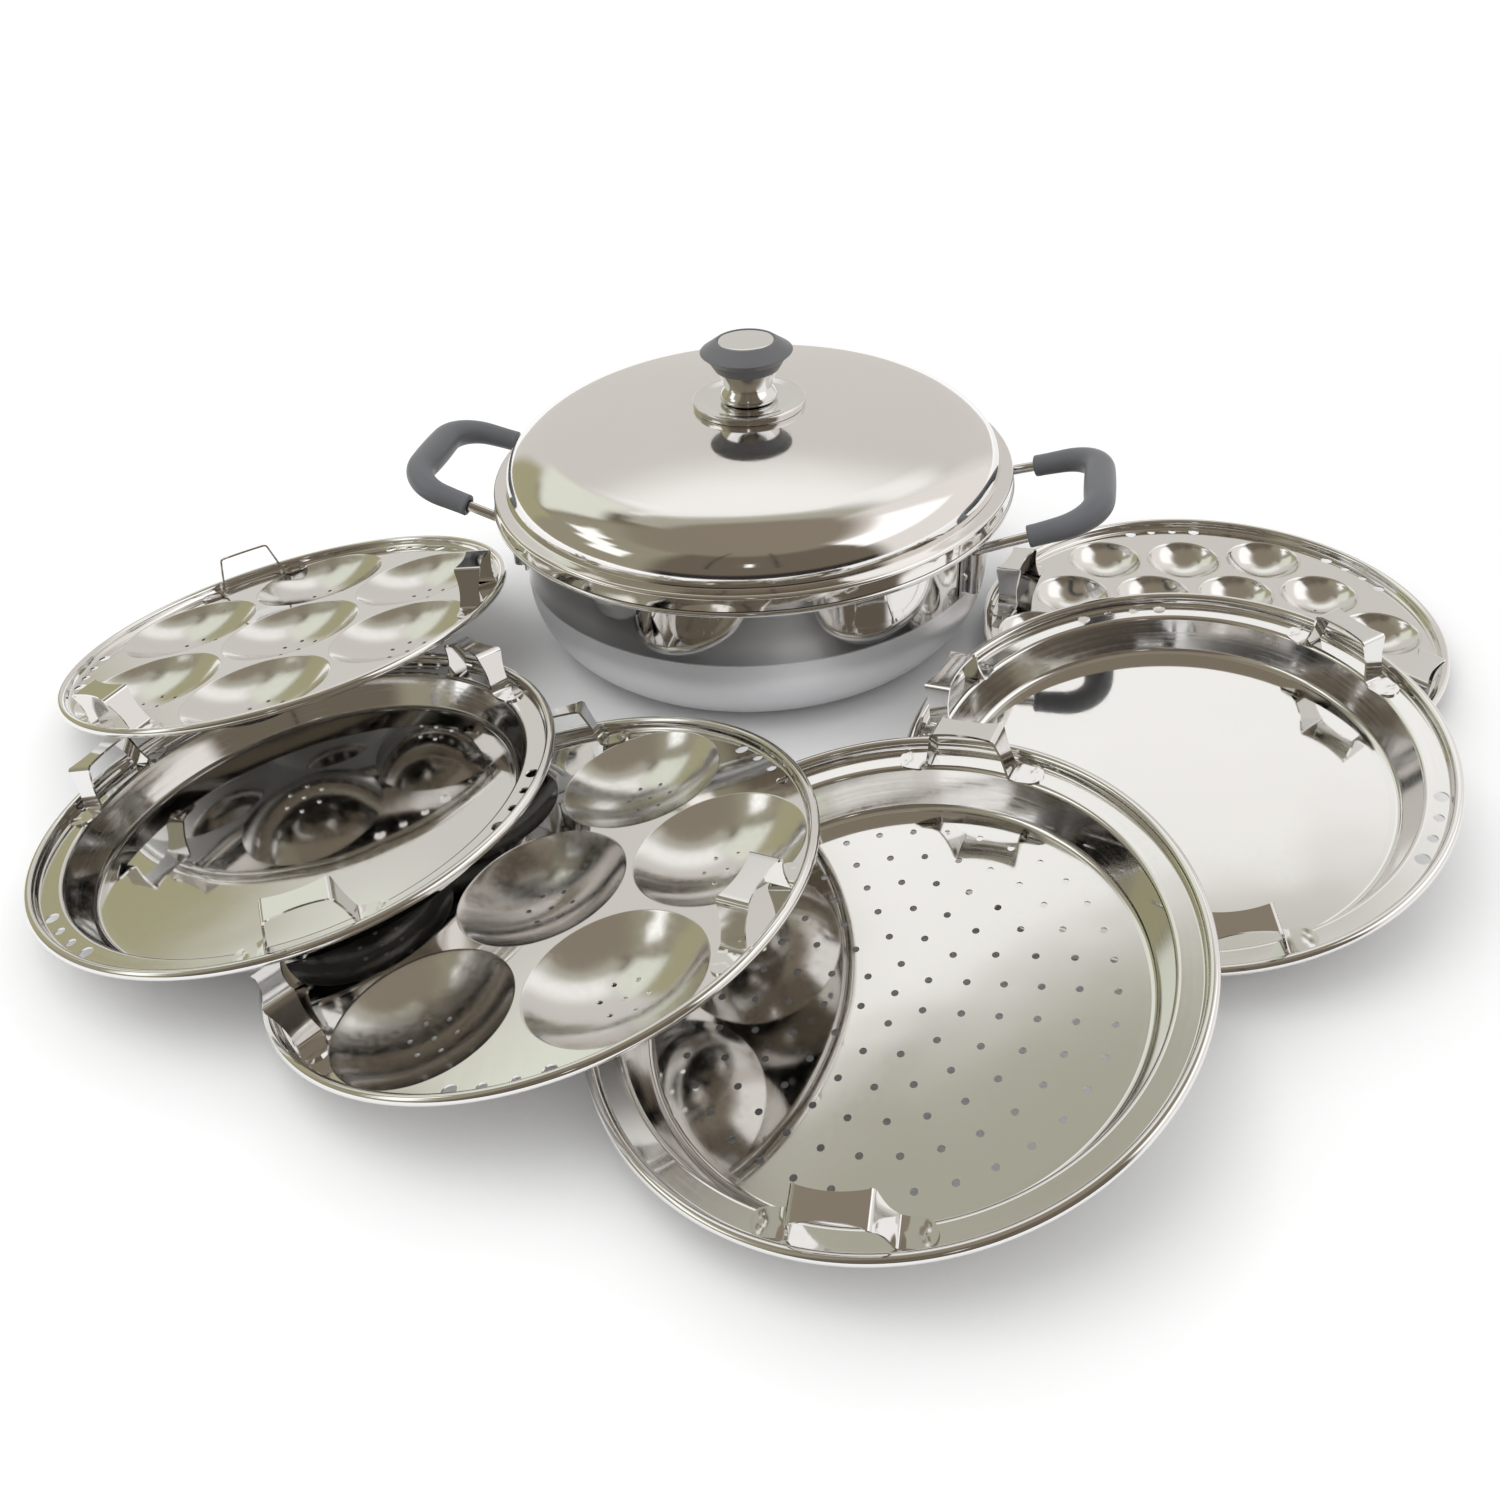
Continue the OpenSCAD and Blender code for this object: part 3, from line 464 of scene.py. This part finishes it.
knob_steel = steel("knob_polished", (0.80, 0.79, 0.78), 0.06, 0.12)
cap_grey = soft_grey("cap_soft_grey", (0.145, 0.147, 0.155), 0.42)
bore_r = 2.6
skirt_z = lid_top_z + 0.1
skirt_top_z = skirt_z + 3.3
neck_z = skirt_top_z - 1.4
waist_z = neck_z + 7.9
flare_z = waist_z + 10.1
cap_z = flare_z + 15.8
knob_outlines = {
    "knob_skirt": [(bore_r, skirt_z), (29.0, skirt_z)] + eased([
        (29.4, skirt_z), (30.2, skirt_z - 0.8), (31.4, skirt_z - 0.8), (31.8, skirt_z - 0.2),
        (31.8, skirt_top_z - 0.6), (31.0, skirt_top_z), (28.6, skirt_top_z - 0.2), (24.3, neck_z + 0.2),
        (17.8, neck_z),
    ], 0.5) + [(bore_r, neck_z)],
    "knob_neck": [(bore_r, neck_z)] + [
        (13 + 3.2 * math.sin(math.pi * t**0.62), neck_z + 7.9 * t) for t in [i / 28 for i in range(29)]
    ] + [(bore_r, waist_z)],
    "knob_flare": [(bore_r, waist_z)] + [
        (13.2 + 4.4 * t**1.25, waist_z + 10.1 * t) for t in [i / 20 for i in range(21)]
    ] + [(bore_r, flare_z)],
    "knob_cap": [(bore_r, flare_z), (17.0, flare_z)] + eased([
        (17.0, flare_z), (17.9, flare_z), (21.5, cap_z - 9.8), (25.78, cap_z - 6.0), (17.0, cap_z - 0.1),
        (15.6, cap_z), (15.6, cap_z - 1.2),
    ], 0.45) + [(0, cap_z - 1.2), (0, cap_z - 5), (bore_r, cap_z - 5)],
    "knob_insert": [
        (0, cap_z - 1.2), (15.5, cap_z - 1.2), (15.5, cap_z - 0.5), (15.3, cap_z - 0.25), (15.0, cap_z - 0.1),
    ] + [(r, cap_z + 0.1 - 0.2 * (r / 15) ** 2) for r in (12, 8, 4)] + [(0, cap_z + 0.1)],
}
for node, outline in knob_outlines.items():
    build = bmesh.new()
    spun(build, outline, steps=128)
    piece = steel_piece(node + "_turned", build, cap_grey if node == "knob_cap" else knob_steel)
    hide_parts(node)
    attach(piece, "lid")


# Handles. A steel rod bent to a loop on each side of the pot, its legs clamped to the wall by two
# riveted brackets, with a thick moulded sleeve of grey soft-touch plastic over the outer part.
handle_turn = -12.8
handle_z, handle_start_r, handle_rise = 77.0, 135.0, math.radians(17)
arm_half_wall, arm_half_tip, handle_reach, handle_bend = 45.5, 39.0, 196.5, 24.0
rod_r, rod_leg = 2.9, 22.0
handle_length = (handle_reach - handle_start_r) / math.cos(handle_rise)
arm_angle = math.atan2(arm_half_wall - arm_half_tip, handle_length)
bend_turn = math.pi / 2 - arm_angle
bend_run = handle_bend * math.tan(bend_turn / 2)
arm_way = Vector((math.cos(arm_angle), math.sin(arm_angle)))
bend_start = Vector((handle_length, -arm_half_tip)) - bend_run * arm_way
bend_centre = bend_start + handle_bend * Vector((-math.sin(arm_angle), math.cos(arm_angle)))
rod_wall_gap = rod_r + 0.4
leg_r = pot_wall_r + rod_wall_gap
leg_x = (math.sqrt(leg_r**2 - arm_half_wall**2) - handle_start_r) / math.cos(handle_rise)
grip_start_r, grip_end_radius, grip_swell, grip_clear = 160.0, 6.2, 2.7, 0.05
grip_start_x = (grip_start_r - handle_start_r) / math.cos(handle_rise)


def loop_point(x, y):
    """A point of the handle's sloping plane, in millimetres."""
    return Vector((handle_start_r + x * math.cos(handle_rise), y, handle_z + x * math.sin(handle_rise)))


def half_loop(start_x):
    y_start = -arm_half_wall + start_x * math.tan(arm_angle)
    points = [Vector((start_x, y_start)).lerp(bend_start, i / 10) for i in range(10)]
    first = arm_angle - math.pi / 2
    for i in range(25):
        angle = first + bend_turn * i / 24
        points.append(bend_centre + handle_bend * Vector((math.cos(angle), math.sin(angle))))
    tip = points[-1].y
    points += [Vector((handle_length, tip * (1 - i / 8))) for i in range(1, 9)]
    return points


def swept(build, path, radii, place, sides=40, ways=None):
    """A round tube along a path, with closed ends, into a bmesh. Path and radii are in millimetres."""
    rings = []
    side = None
    for i, point in enumerate(path):
        way = ways[i] if ways else (path[min(i + 1, len(path) - 1)] - path[max(i - 1, 0)]).normalized()
        if side is None:
            side = way.orthogonal().normalized()
        side = (side - way * side.dot(way)).normalized()
        across = way.cross(side)
        rings.append([
            build.verts.new(place @ ((point + radii[i] * (
                math.cos(math.tau * k / sides) * side + math.sin(math.tau * k / sides) * across
            )) / 1000))
            for k in range(sides)
        ])
    for ring, after in zip(rings, rings[1:]):
        for k in range(sides):
            build.faces.new((ring[k], ring[(k + 1) % sides], after[(k + 1) % sides], after[k]))
    build.faces.new(rings[0][::-1])
    build.faces.new(rings[-1])


grip_grey = soft_grey("grip_soft_grey", (0.15, 0.155, 0.167), 0.40)
rod_steel = steel("rod_polished", (0.78, 0.77, 0.76), 0.07, 0.13)
plane_half = half_loop(grip_start_x)
plane_path = plane_half + [Vector((p.x, -p.y)) for p in plane_half[-2::-1]]
grip_path = [loop_point(p.x, p.y) for p in plane_path]
lengths = [0.0]
for a, b in zip(grip_path, grip_path[1:]):
    lengths.append(lengths[-1] + (b - a).length)
half_length = lengths[-1] / 2
grip_radii = []
for run in lengths:
    t = min(run, lengths[-1] - run) / half_length
    swell = 0.5 - 0.5 * math.cos(math.pi * min(t * 1.02, 1))
    grip_radii.append(grip_end_radius + grip_swell * swell - grip_clear)
# Each end of the sleeve, from inside the hole round the rod out to the collar: run along it, step in radius
end_runs = (
    (5, -2.9), (0.5, -2.5), (0.1, -2.2), (0, -1.9), (0, -0.9), (0.25, -0.35), (0.8, 0.0), (3.2, 0.0), (3.6, -0.3),
)
ways = [(b - a).normalized() for a, b in zip(grip_path, grip_path[2:])]
first_way, last_way = (grip_path[1] - grip_path[0]).normalized(), (grip_path[-1] - grip_path[-2]).normalized()
ends = len(end_runs)
ways = [first_way] * ends + ways + [last_way] * ends
grip_path = (
    [grip_path[0] + first_way * run for run, _ in end_runs] + grip_path[1:-1]
    + [grip_path[-1] - last_way * run for run, _ in end_runs[::-1]]
)
end_radii = [grip_end_radius + step for _, step in end_runs]
grip_radii = end_radii + grip_radii[1:-1] + end_radii[::-1]

rod_half = [loop_point(p.x, p.y) for p in half_loop(leg_x)]
corner = rod_half[0]
down = Vector((0, 0, -1))
out_way = (rod_half[1] - rod_half[0]).normalized()
knee = 5.0
knee_points = []
for i in range(9):
    t = i / 8
    below, beyond = corner + down * knee, corner + out_way * knee
    knee_points.append(below * (1 - t) ** 2 + corner * 2 * t * (1 - t) + beyond * t**2)
rod_half = [corner + down * rod_leg, corner + down * (rod_leg / 2)] + knee_points + [
    p for p in rod_half if (p - corner).length > knee + 1
]
rod_path = rod_half + [Vector((p.x, -p.y, p.z)) for p in rod_half[-2::-1]]

for side, extra in (("right", 0), ("left", 180)):
    place = Matrix.Rotation(math.radians(handle_turn + extra), 4, "Z")
    build = bmesh.new()
    swept(build, rod_path, [rod_r] * len(rod_path), place)
    rod = steel_piece("rod_" + side, build, rod_steel)
    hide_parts("handle_rod_" + side)
    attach(rod, "pot")
    build = bmesh.new()
    swept(build, grip_path, grip_radii, place, sides=56, ways=ways)
    grip = steel_piece("sleeve_" + side, build, grip_grey)
    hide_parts("handle_grip_" + side)
    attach(grip, "pot")

bracket_steel = steel("bracket_satin", (0.62, 0.61, 0.60), 0.16, 0.26)
for node in ("brackets_right", "brackets_left", "rivets_right", "rivets_left", "knob_screw", "knob_washer"):
    cad_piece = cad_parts[node]
    cad_piece.data.materials.clear()
    cad_piece.data.materials.append(bracket_steel)


# Plates. Six discs of thin polished steel with the same rolled rim and flat flange. Two have seven
# idli cups, one has nineteen mini cups, two are plain deep trays and one is a perforated tray.
plate_sheet = 0.8
plate_r, plate_bead_r, flange_drop = 128.8, 2.4, 3.4
plate_bead_mid_r = plate_r - plate_bead_r
flange_edge_r = plate_r - 2 * plate_bead_r
rim_path = [
    (flange_edge_r - 1.4, -flange_drop), (flange_edge_r - 0.8, -flange_drop + 0.15),
    (flange_edge_r - 0.25, -flange_drop + 0.6), (flange_edge_r + 0.1, -flange_drop + 1.2),
    (flange_edge_r + 0.6, -0.9), (flange_edge_r + 0.9, 0),
]
vent_circle_r = 119.5
vent_holes = ((-9.7, 3.3), (-3.2, 2.4), (3.2, 2.4), (9.7, 3.3))
well_top_r, well_bottom_r, tray_depth, steam_depth = 112.4, 104.6, 21.2, 22.8
idli_mouth_r, idli_depth, idli_circle_r, drain_r, drain_circle_r = 39.5, 13.0, 82.5, 1.2, 10.4
mini_mouth_r, mini_depth, mini_pitch, mini_turn = 22.0, 11.0, 48.3, -4.0
steam_hole_r, steam_pitch, steam_rings, steam_turn = 1.6, 15.0, 6, 36.3


def well_path(depth):
    side = math.degrees(math.atan2(well_top_r - well_bottom_r, tray_depth - flange_drop))
    foot_r = well_bottom_r - 4 * math.tan(math.radians(45 - side / 2)) + 0.6
    return (
        [(0, -depth), (50, -depth)]
        + arc((foot_r, -depth + 4), 4, -90, -side, 14)
        + arc((well_top_r + 2.2, -flange_drop - 2.2), 2.2, 180 - side, 90, 10)
    )


def drill(piece, holes, sides=24):
    """Cuts round holes, given as (x, y, z, radius, depth) in millimetres, out of a piece."""
    cutter = bmesh.new()
    for x, y, z, radius, depth in holes:
        bmesh.ops.create_cone(
            cutter, cap_ends=True, segments=sides, radius1=radius / 1000, radius2=radius / 1000,
            depth=depth / 1000, matrix=Matrix.Translation(mm(x, y, z)),
        )
    mesh = bpy.data.meshes.new("cutter")
    cutter.to_mesh(mesh)
    cutter.free()
    tool = bpy.data.objects.new("cutter", mesh)
    bpy.context.scene.collection.objects.link(tool)
    cut = piece.modifiers.new("holes", "BOOLEAN")
    cut.operation = "DIFFERENCE"
    cut.solver = "EXACT"
    cut.object = tool
    bpy.context.view_layer.update()
    whole = bpy.data.meshes.new_from_object(piece.evaluated_get(bpy.context.evaluated_depsgraph_get()))
    piece.modifiers.clear()
    piece.data = whole
    bpy.data.objects.remove(tool)


def around(radius, angle):
    return radius * math.cos(math.radians(angle)), radius * math.sin(math.radians(angle))


def vents(middles):
    return [
        (*around(vent_circle_r, middle + spread), -flange_drop, radius, 4)
        for middle in middles for spread, radius in vent_holes
    ]


cup_sides = 120


def cup_outline(mouth_r, depth):
    ball = (mouth_r**2 + depth**2) / (2 * depth)
    half_angle = math.degrees(math.asin(mouth_r / ball))
    path = arc((0, -flange_drop - depth + ball), ball, -90, -90 + half_angle * 0.94, 22)
    path += [
        (mouth_r - 0.5, -flange_drop - 0.42), (mouth_r - 0.1, -flange_drop - 0.18),
        (mouth_r + 0.15, -flange_drop - 0.05), (mouth_r + 0.35, -flange_drop),
    ]
    return sheet_outline(path, plate_sheet)


def cup_plate(name, material, cups, mouth_r, depth, drains, vent_middles):
    build = bmesh.new()
    spun(build, sheet_outline([(0, -flange_drop), (60, -flange_drop)] + rim_path, plate_sheet))
    piece = steel_piece(name, build, material)
    drill(piece, [(x, y, -flange_drop, mouth_r + 0.3, 6) for x, y in cups], sides=cup_sides)
    drill(piece, vents(vent_middles))
    build = bmesh.new()
    spun(build, cup_outline(mouth_r, depth), steps=cup_sides)
    cup = steel_piece(name + "_cup", build, material)
    if drains:
        drill(cup, [(0, 0, -flange_drop - depth, drain_r, 6)] + [
            (*around(drain_circle_r, 60 * i), -flange_drop - depth, drain_r, 8) for i in range(6)
        ])
    cup.data.polygons.foreach_set("material_index", [1] * len(cup.data.polygons))
    whole = bmesh.new()
    whole.from_mesh(piece.data)
    for x, y in cups:
        before = len(whole.verts)
        whole.from_mesh(cup.data)
        whole.verts.ensure_lookup_table()
        bmesh.ops.translate(whole, verts=whole.verts[before:], vec=mm(x, y, 0))
    spun(whole, arc((plate_bead_mid_r, 0), plate_bead_r, 0, 340, 17))
    bpy.data.objects.remove(cup)
    bpy.data.objects.remove(piece)
    piece = steel_piece(name, whole, material)
    piece.data.materials.append(cup_steel)
    return piece


def tray(name, material, depth, holes):
    build = bmesh.new()
    spun(build, sheet_outline(well_path(depth) + rim_path, plate_sheet))
    piece = steel_piece(name, build, material)
    if holes:
        drill(piece, holes)
    whole = bmesh.new()
    whole.from_mesh(piece.data)
    spun(whole, arc((plate_bead_mid_r, 0), plate_bead_r, 0, 340, 17))
    bpy.data.objects.remove(piece)
    return steel_piece(name, whole, material)


def laid(place, slope, leaning, turned):
    """Where a plate lies: the middle of its rim, its slope, the way it leans, and its turn."""
    lean = math.radians(leaning)
    return (
        Matrix.Translation(mm(*place))
        @ Matrix.Rotation(math.radians(slope), 4, Vector((-math.sin(lean), math.cos(lean), 0)))
        @ Matrix.Rotation(math.radians(turned), 4, "Z")
    )


idli_cups = [(0, 0)] + [around(idli_circle_r, 60 * i) for i in range(6)]
mini_cups = []
for row in range(-2, 3):
    for i in range(5 - abs(row)):
        x, y = mini_pitch * (i - (4 - abs(row)) / 2), mini_pitch * row * math.sin(math.radians(60))
        reach, angle = math.hypot(x, y), math.degrees(math.atan2(y, x))
        mini_cups.append(around(reach, angle + mini_turn))
steam_holes = [(0, 0, -steam_depth, steam_hole_r, 4)]
for ring in range(1, steam_rings + 1):
    for i in range(6 * ring):
        angle = steam_turn + (i + (0.5 if ring % 2 == 0 else 0)) * 60 / ring
        steam_holes.append((*around(ring * steam_pitch, angle), -steam_depth, steam_hole_r, 4))

plate_steel = steel("plate_polished", (0.82, 0.81, 0.79), 0.045, 0.08)
cup_steel = steel("cup_pressed", (0.80, 0.785, 0.765), 0.13, 0.19)
tray_steel = steel("tray_polished", (0.82, 0.81, 0.795), 0.04, 0.07, streaks=True)
lug_steel = steel("lug_polished", (0.80, 0.79, 0.78), 0.06, 0.11, wave=0.0002)
idli_vents, mini_vents = (30, 150, 270), (30, 150, 210, 330)


# Lugs. Each is a strip cut with bowed edges and bent to a flat-topped arch that leans outwards.
# Its two round-ended feet are spot-welded to the plate's flange.
lug_h, lug_half, lug_reach, lug_t, lug_bend = 22.0, 14.8, 34.0, 1.1, 1.8
lug_lean, lug_splay = math.radians(14), math.radians(8)
lug_circle_r = 113.8
lug_rise = lug_h - lug_t - 2 * lug_bend * (1 - math.sin(lug_lean))
lug_foot_y = lug_half - lug_bend + 2 * lug_bend * math.cos(lug_lean) + lug_rise * math.tan(lug_lean)
foot_half_w, corner_half_w, waist_half_w, leg_half_w = 5.9, 7.2, 5.1, 5.4


def lug_half_width(y, on_top, t):
    if on_top:
        return waist_half_w + (corner_half_w - waist_half_w) * (y / lug_half) ** 2
    if t <= 1:
        bow = (corner_half_w / 2 + foot_half_w / 2 - leg_half_w) * math.sin(math.pi * t)
        return corner_half_w + (foot_half_w - corner_half_w) * t - bow
    past = abs(y) - (lug_reach - foot_half_w)
    return foot_half_w if past <= 0 else math.sqrt(max(foot_half_w**2 - past**2, 0.02))


def lug_path():
    """The strip's middle line, from the middle of the top to the tip of a foot: (y, z, half width)."""
    line = []
    top_z = lug_h - lug_t / 2
    bend_y = lug_half - lug_bend
    for i in range(9):
        y = bend_y * i / 8
        line.append((y, top_z, lug_half_width(y, True, 0)))
    for a in range(80, -1, -20):
        angle = math.radians(a) if a > 14 else lug_lean
        y, z = bend_y + lug_bend * math.cos(angle), top_z - lug_bend + lug_bend * math.sin(angle)
        line.append((y, z, corner_half_w))
        if a <= 14:
            break
    start = line[-1]
    foot_top = (lug_foot_y - lug_bend * math.cos(lug_lean), lug_t / 2 + lug_bend - lug_bend * math.sin(lug_lean))
    for i in range(1, 9):
        t = i / 8
        y, z = start[0] + (foot_top[0] - start[0]) * t, start[1] + (foot_top[1] - start[1]) * t
        line.append((y, z, lug_half_width(y, False, t)))
    for a in (206, 222, 238, 254, 270):
        angle = math.radians(a)
        y, z = lug_foot_y + lug_bend * math.cos(angle), lug_t / 2 + lug_bend + lug_bend * math.sin(angle)
        line.append((y, z, foot_half_w))
    last = lug_foot_y
    for i in range(1, 25):
        y = last + (lug_reach - last) * math.sin(math.pi / 2 * i / 24)
        line.append((y, lug_t / 2, lug_half_width(y, False, 2)))
    return line


weld_spots, weld_depth, weld_r = (-2.6, 0.0, 2.6), 0.35, 0.9


def lug_piece(name, material, place):
    half_line = lug_path()
    line = [(-y, z, w) for y, z, w in half_line[:0:-1]] + half_line
    flat = [(y, z) for y, z, _ in line]
    build = bmesh.new()
    columns = 8
    layers = []
    for side in (0.5, -0.5):
        grid = []
        for (y, z), (_, _, width) in zip(beside(flat, lug_t * side), line):
            row = []
            for k in range(columns + 1):
                x = width * (2 * k / columns - 1)
                dent = 0.0
                if side > 0 and abs(y) > lug_foot_y:
                    for spot in weld_spots:
                        away = math.hypot(x - spot, abs(y) - (lug_reach - 5.2 + 0.5 * abs(spot)))
                        dent += weld_depth * math.exp(-((away / weld_r) ** 2))
                splay = lug_splay * min(max((lug_foot_y - abs(y)) / lug_bend + 1, 0), 1)
                height = z - dent - lug_t / 2
                row.append(build.verts.new(place @ mm(
                    x * math.cos(splay) + height * math.sin(splay), y,
                    lug_t / 2 + height * math.cos(splay) - x * math.sin(splay),
                )))
            grid.append(row)
        layers.append(grid)
    upper, lower = layers
    for i in range(len(line) - 1):
        for k in range(columns):
            build.faces.new((upper[i][k], upper[i][k + 1], upper[i + 1][k + 1], upper[i + 1][k]))
            build.faces.new((lower[i][k], lower[i + 1][k], lower[i + 1][k + 1], lower[i][k + 1]))
        for k in (0, columns):
            build.faces.new((upper[i][k], upper[i + 1][k], lower[i + 1][k], lower[i][k]))
    for i in (0, len(line) - 1):
        for k in range(columns):
            build.faces.new((upper[i][k], upper[i][k + 1], lower[i][k + 1], lower[i][k]))
    return steel_piece(name, build, material, crease=50)


# Each plate with its lugs: how it lies, and where its lugs stand round the rim
flange_top = -flange_drop + plate_sheet / 2
plates = (
    ("idli_plate_left", "left_idli", "idli_left_lug_",
     "idli", ((-271.9, -49.6, 37.4), 12.6, 133, -85.7), (83.5, 204.5, 322)),
    ("tray_left", "left_tray", "tray_left_lug_",
     "tray", ((-229.4, -205.3, 36.7), 8.5, 154, -45.8), (92.6, 206, 334.2)),
    ("idli_plate_front", "front_idli", "idli_front_lug_",
     "idli", ((-103.7, -278.0, 36.5), 13.4, 157, -0.6), (91, 209, 331.6)),
    ("steam_tray", "perforated", "steam_tray_lug_",
     "steam", ((44.4, -345.0, 44.7), 12.0, -155, -23.0), (87.2, 279.2)),
    ("tray_right", "right_tray", "tray_right_lug_",
     "tray", ((193.1, -216.7, 37.9), 8.7, -142, -61.7), (90.5, 206.2, 331.6)),
    ("mini_plate", "mini", "mini_lug_",
     "mini", ((256.3, -69.3, 14.8), 0, 0, 58), (92, 262)),
)
for node, body, lug_name, kind, lie, lug_angles in plates:
    place = laid(*lie)
    if kind == "idli":
        plate = cup_plate(node + "_disc", plate_steel, idli_cups, idli_mouth_r, idli_depth, True, idli_vents)
    elif kind == "mini":
        plate = cup_plate(node + "_disc", plate_steel, mini_cups, mini_mouth_r, mini_depth, False, mini_vents)
    elif kind == "steam":
        plate = tray(node + "_disc", tray_steel, steam_depth, steam_holes)
    else:
        plate = tray(node + "_disc", tray_steel, tray_depth, vents(idli_vents))
    spots = [0.0] * (3 * len(plate.data.vertices))
    plate.data.vertices.foreach_get("co", spots)
    plate.data.attributes.new("lie", "FLOAT_VECTOR", "POINT").data.foreach_set("vector", spots)
    plate.data.transform(place)
    weigh = plate.modifiers.new("flat_faces", "WEIGHTED_NORMAL")
    weigh.keep_sharp = True
    weigh.weight = 80
    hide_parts(node)
    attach(plate, body)
    for number, angle in enumerate(lug_angles, 1):
        spot = (
            place @ Matrix.Rotation(math.radians(angle), 4, "Z")
            @ Matrix.Translation(mm(lug_circle_r, 0, flange_top))
        )
        lug = lug_piece(f"{lug_name}{number}_strip", lug_steel, spot)
        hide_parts(f"{lug_name}{number}")
        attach(lug, body)
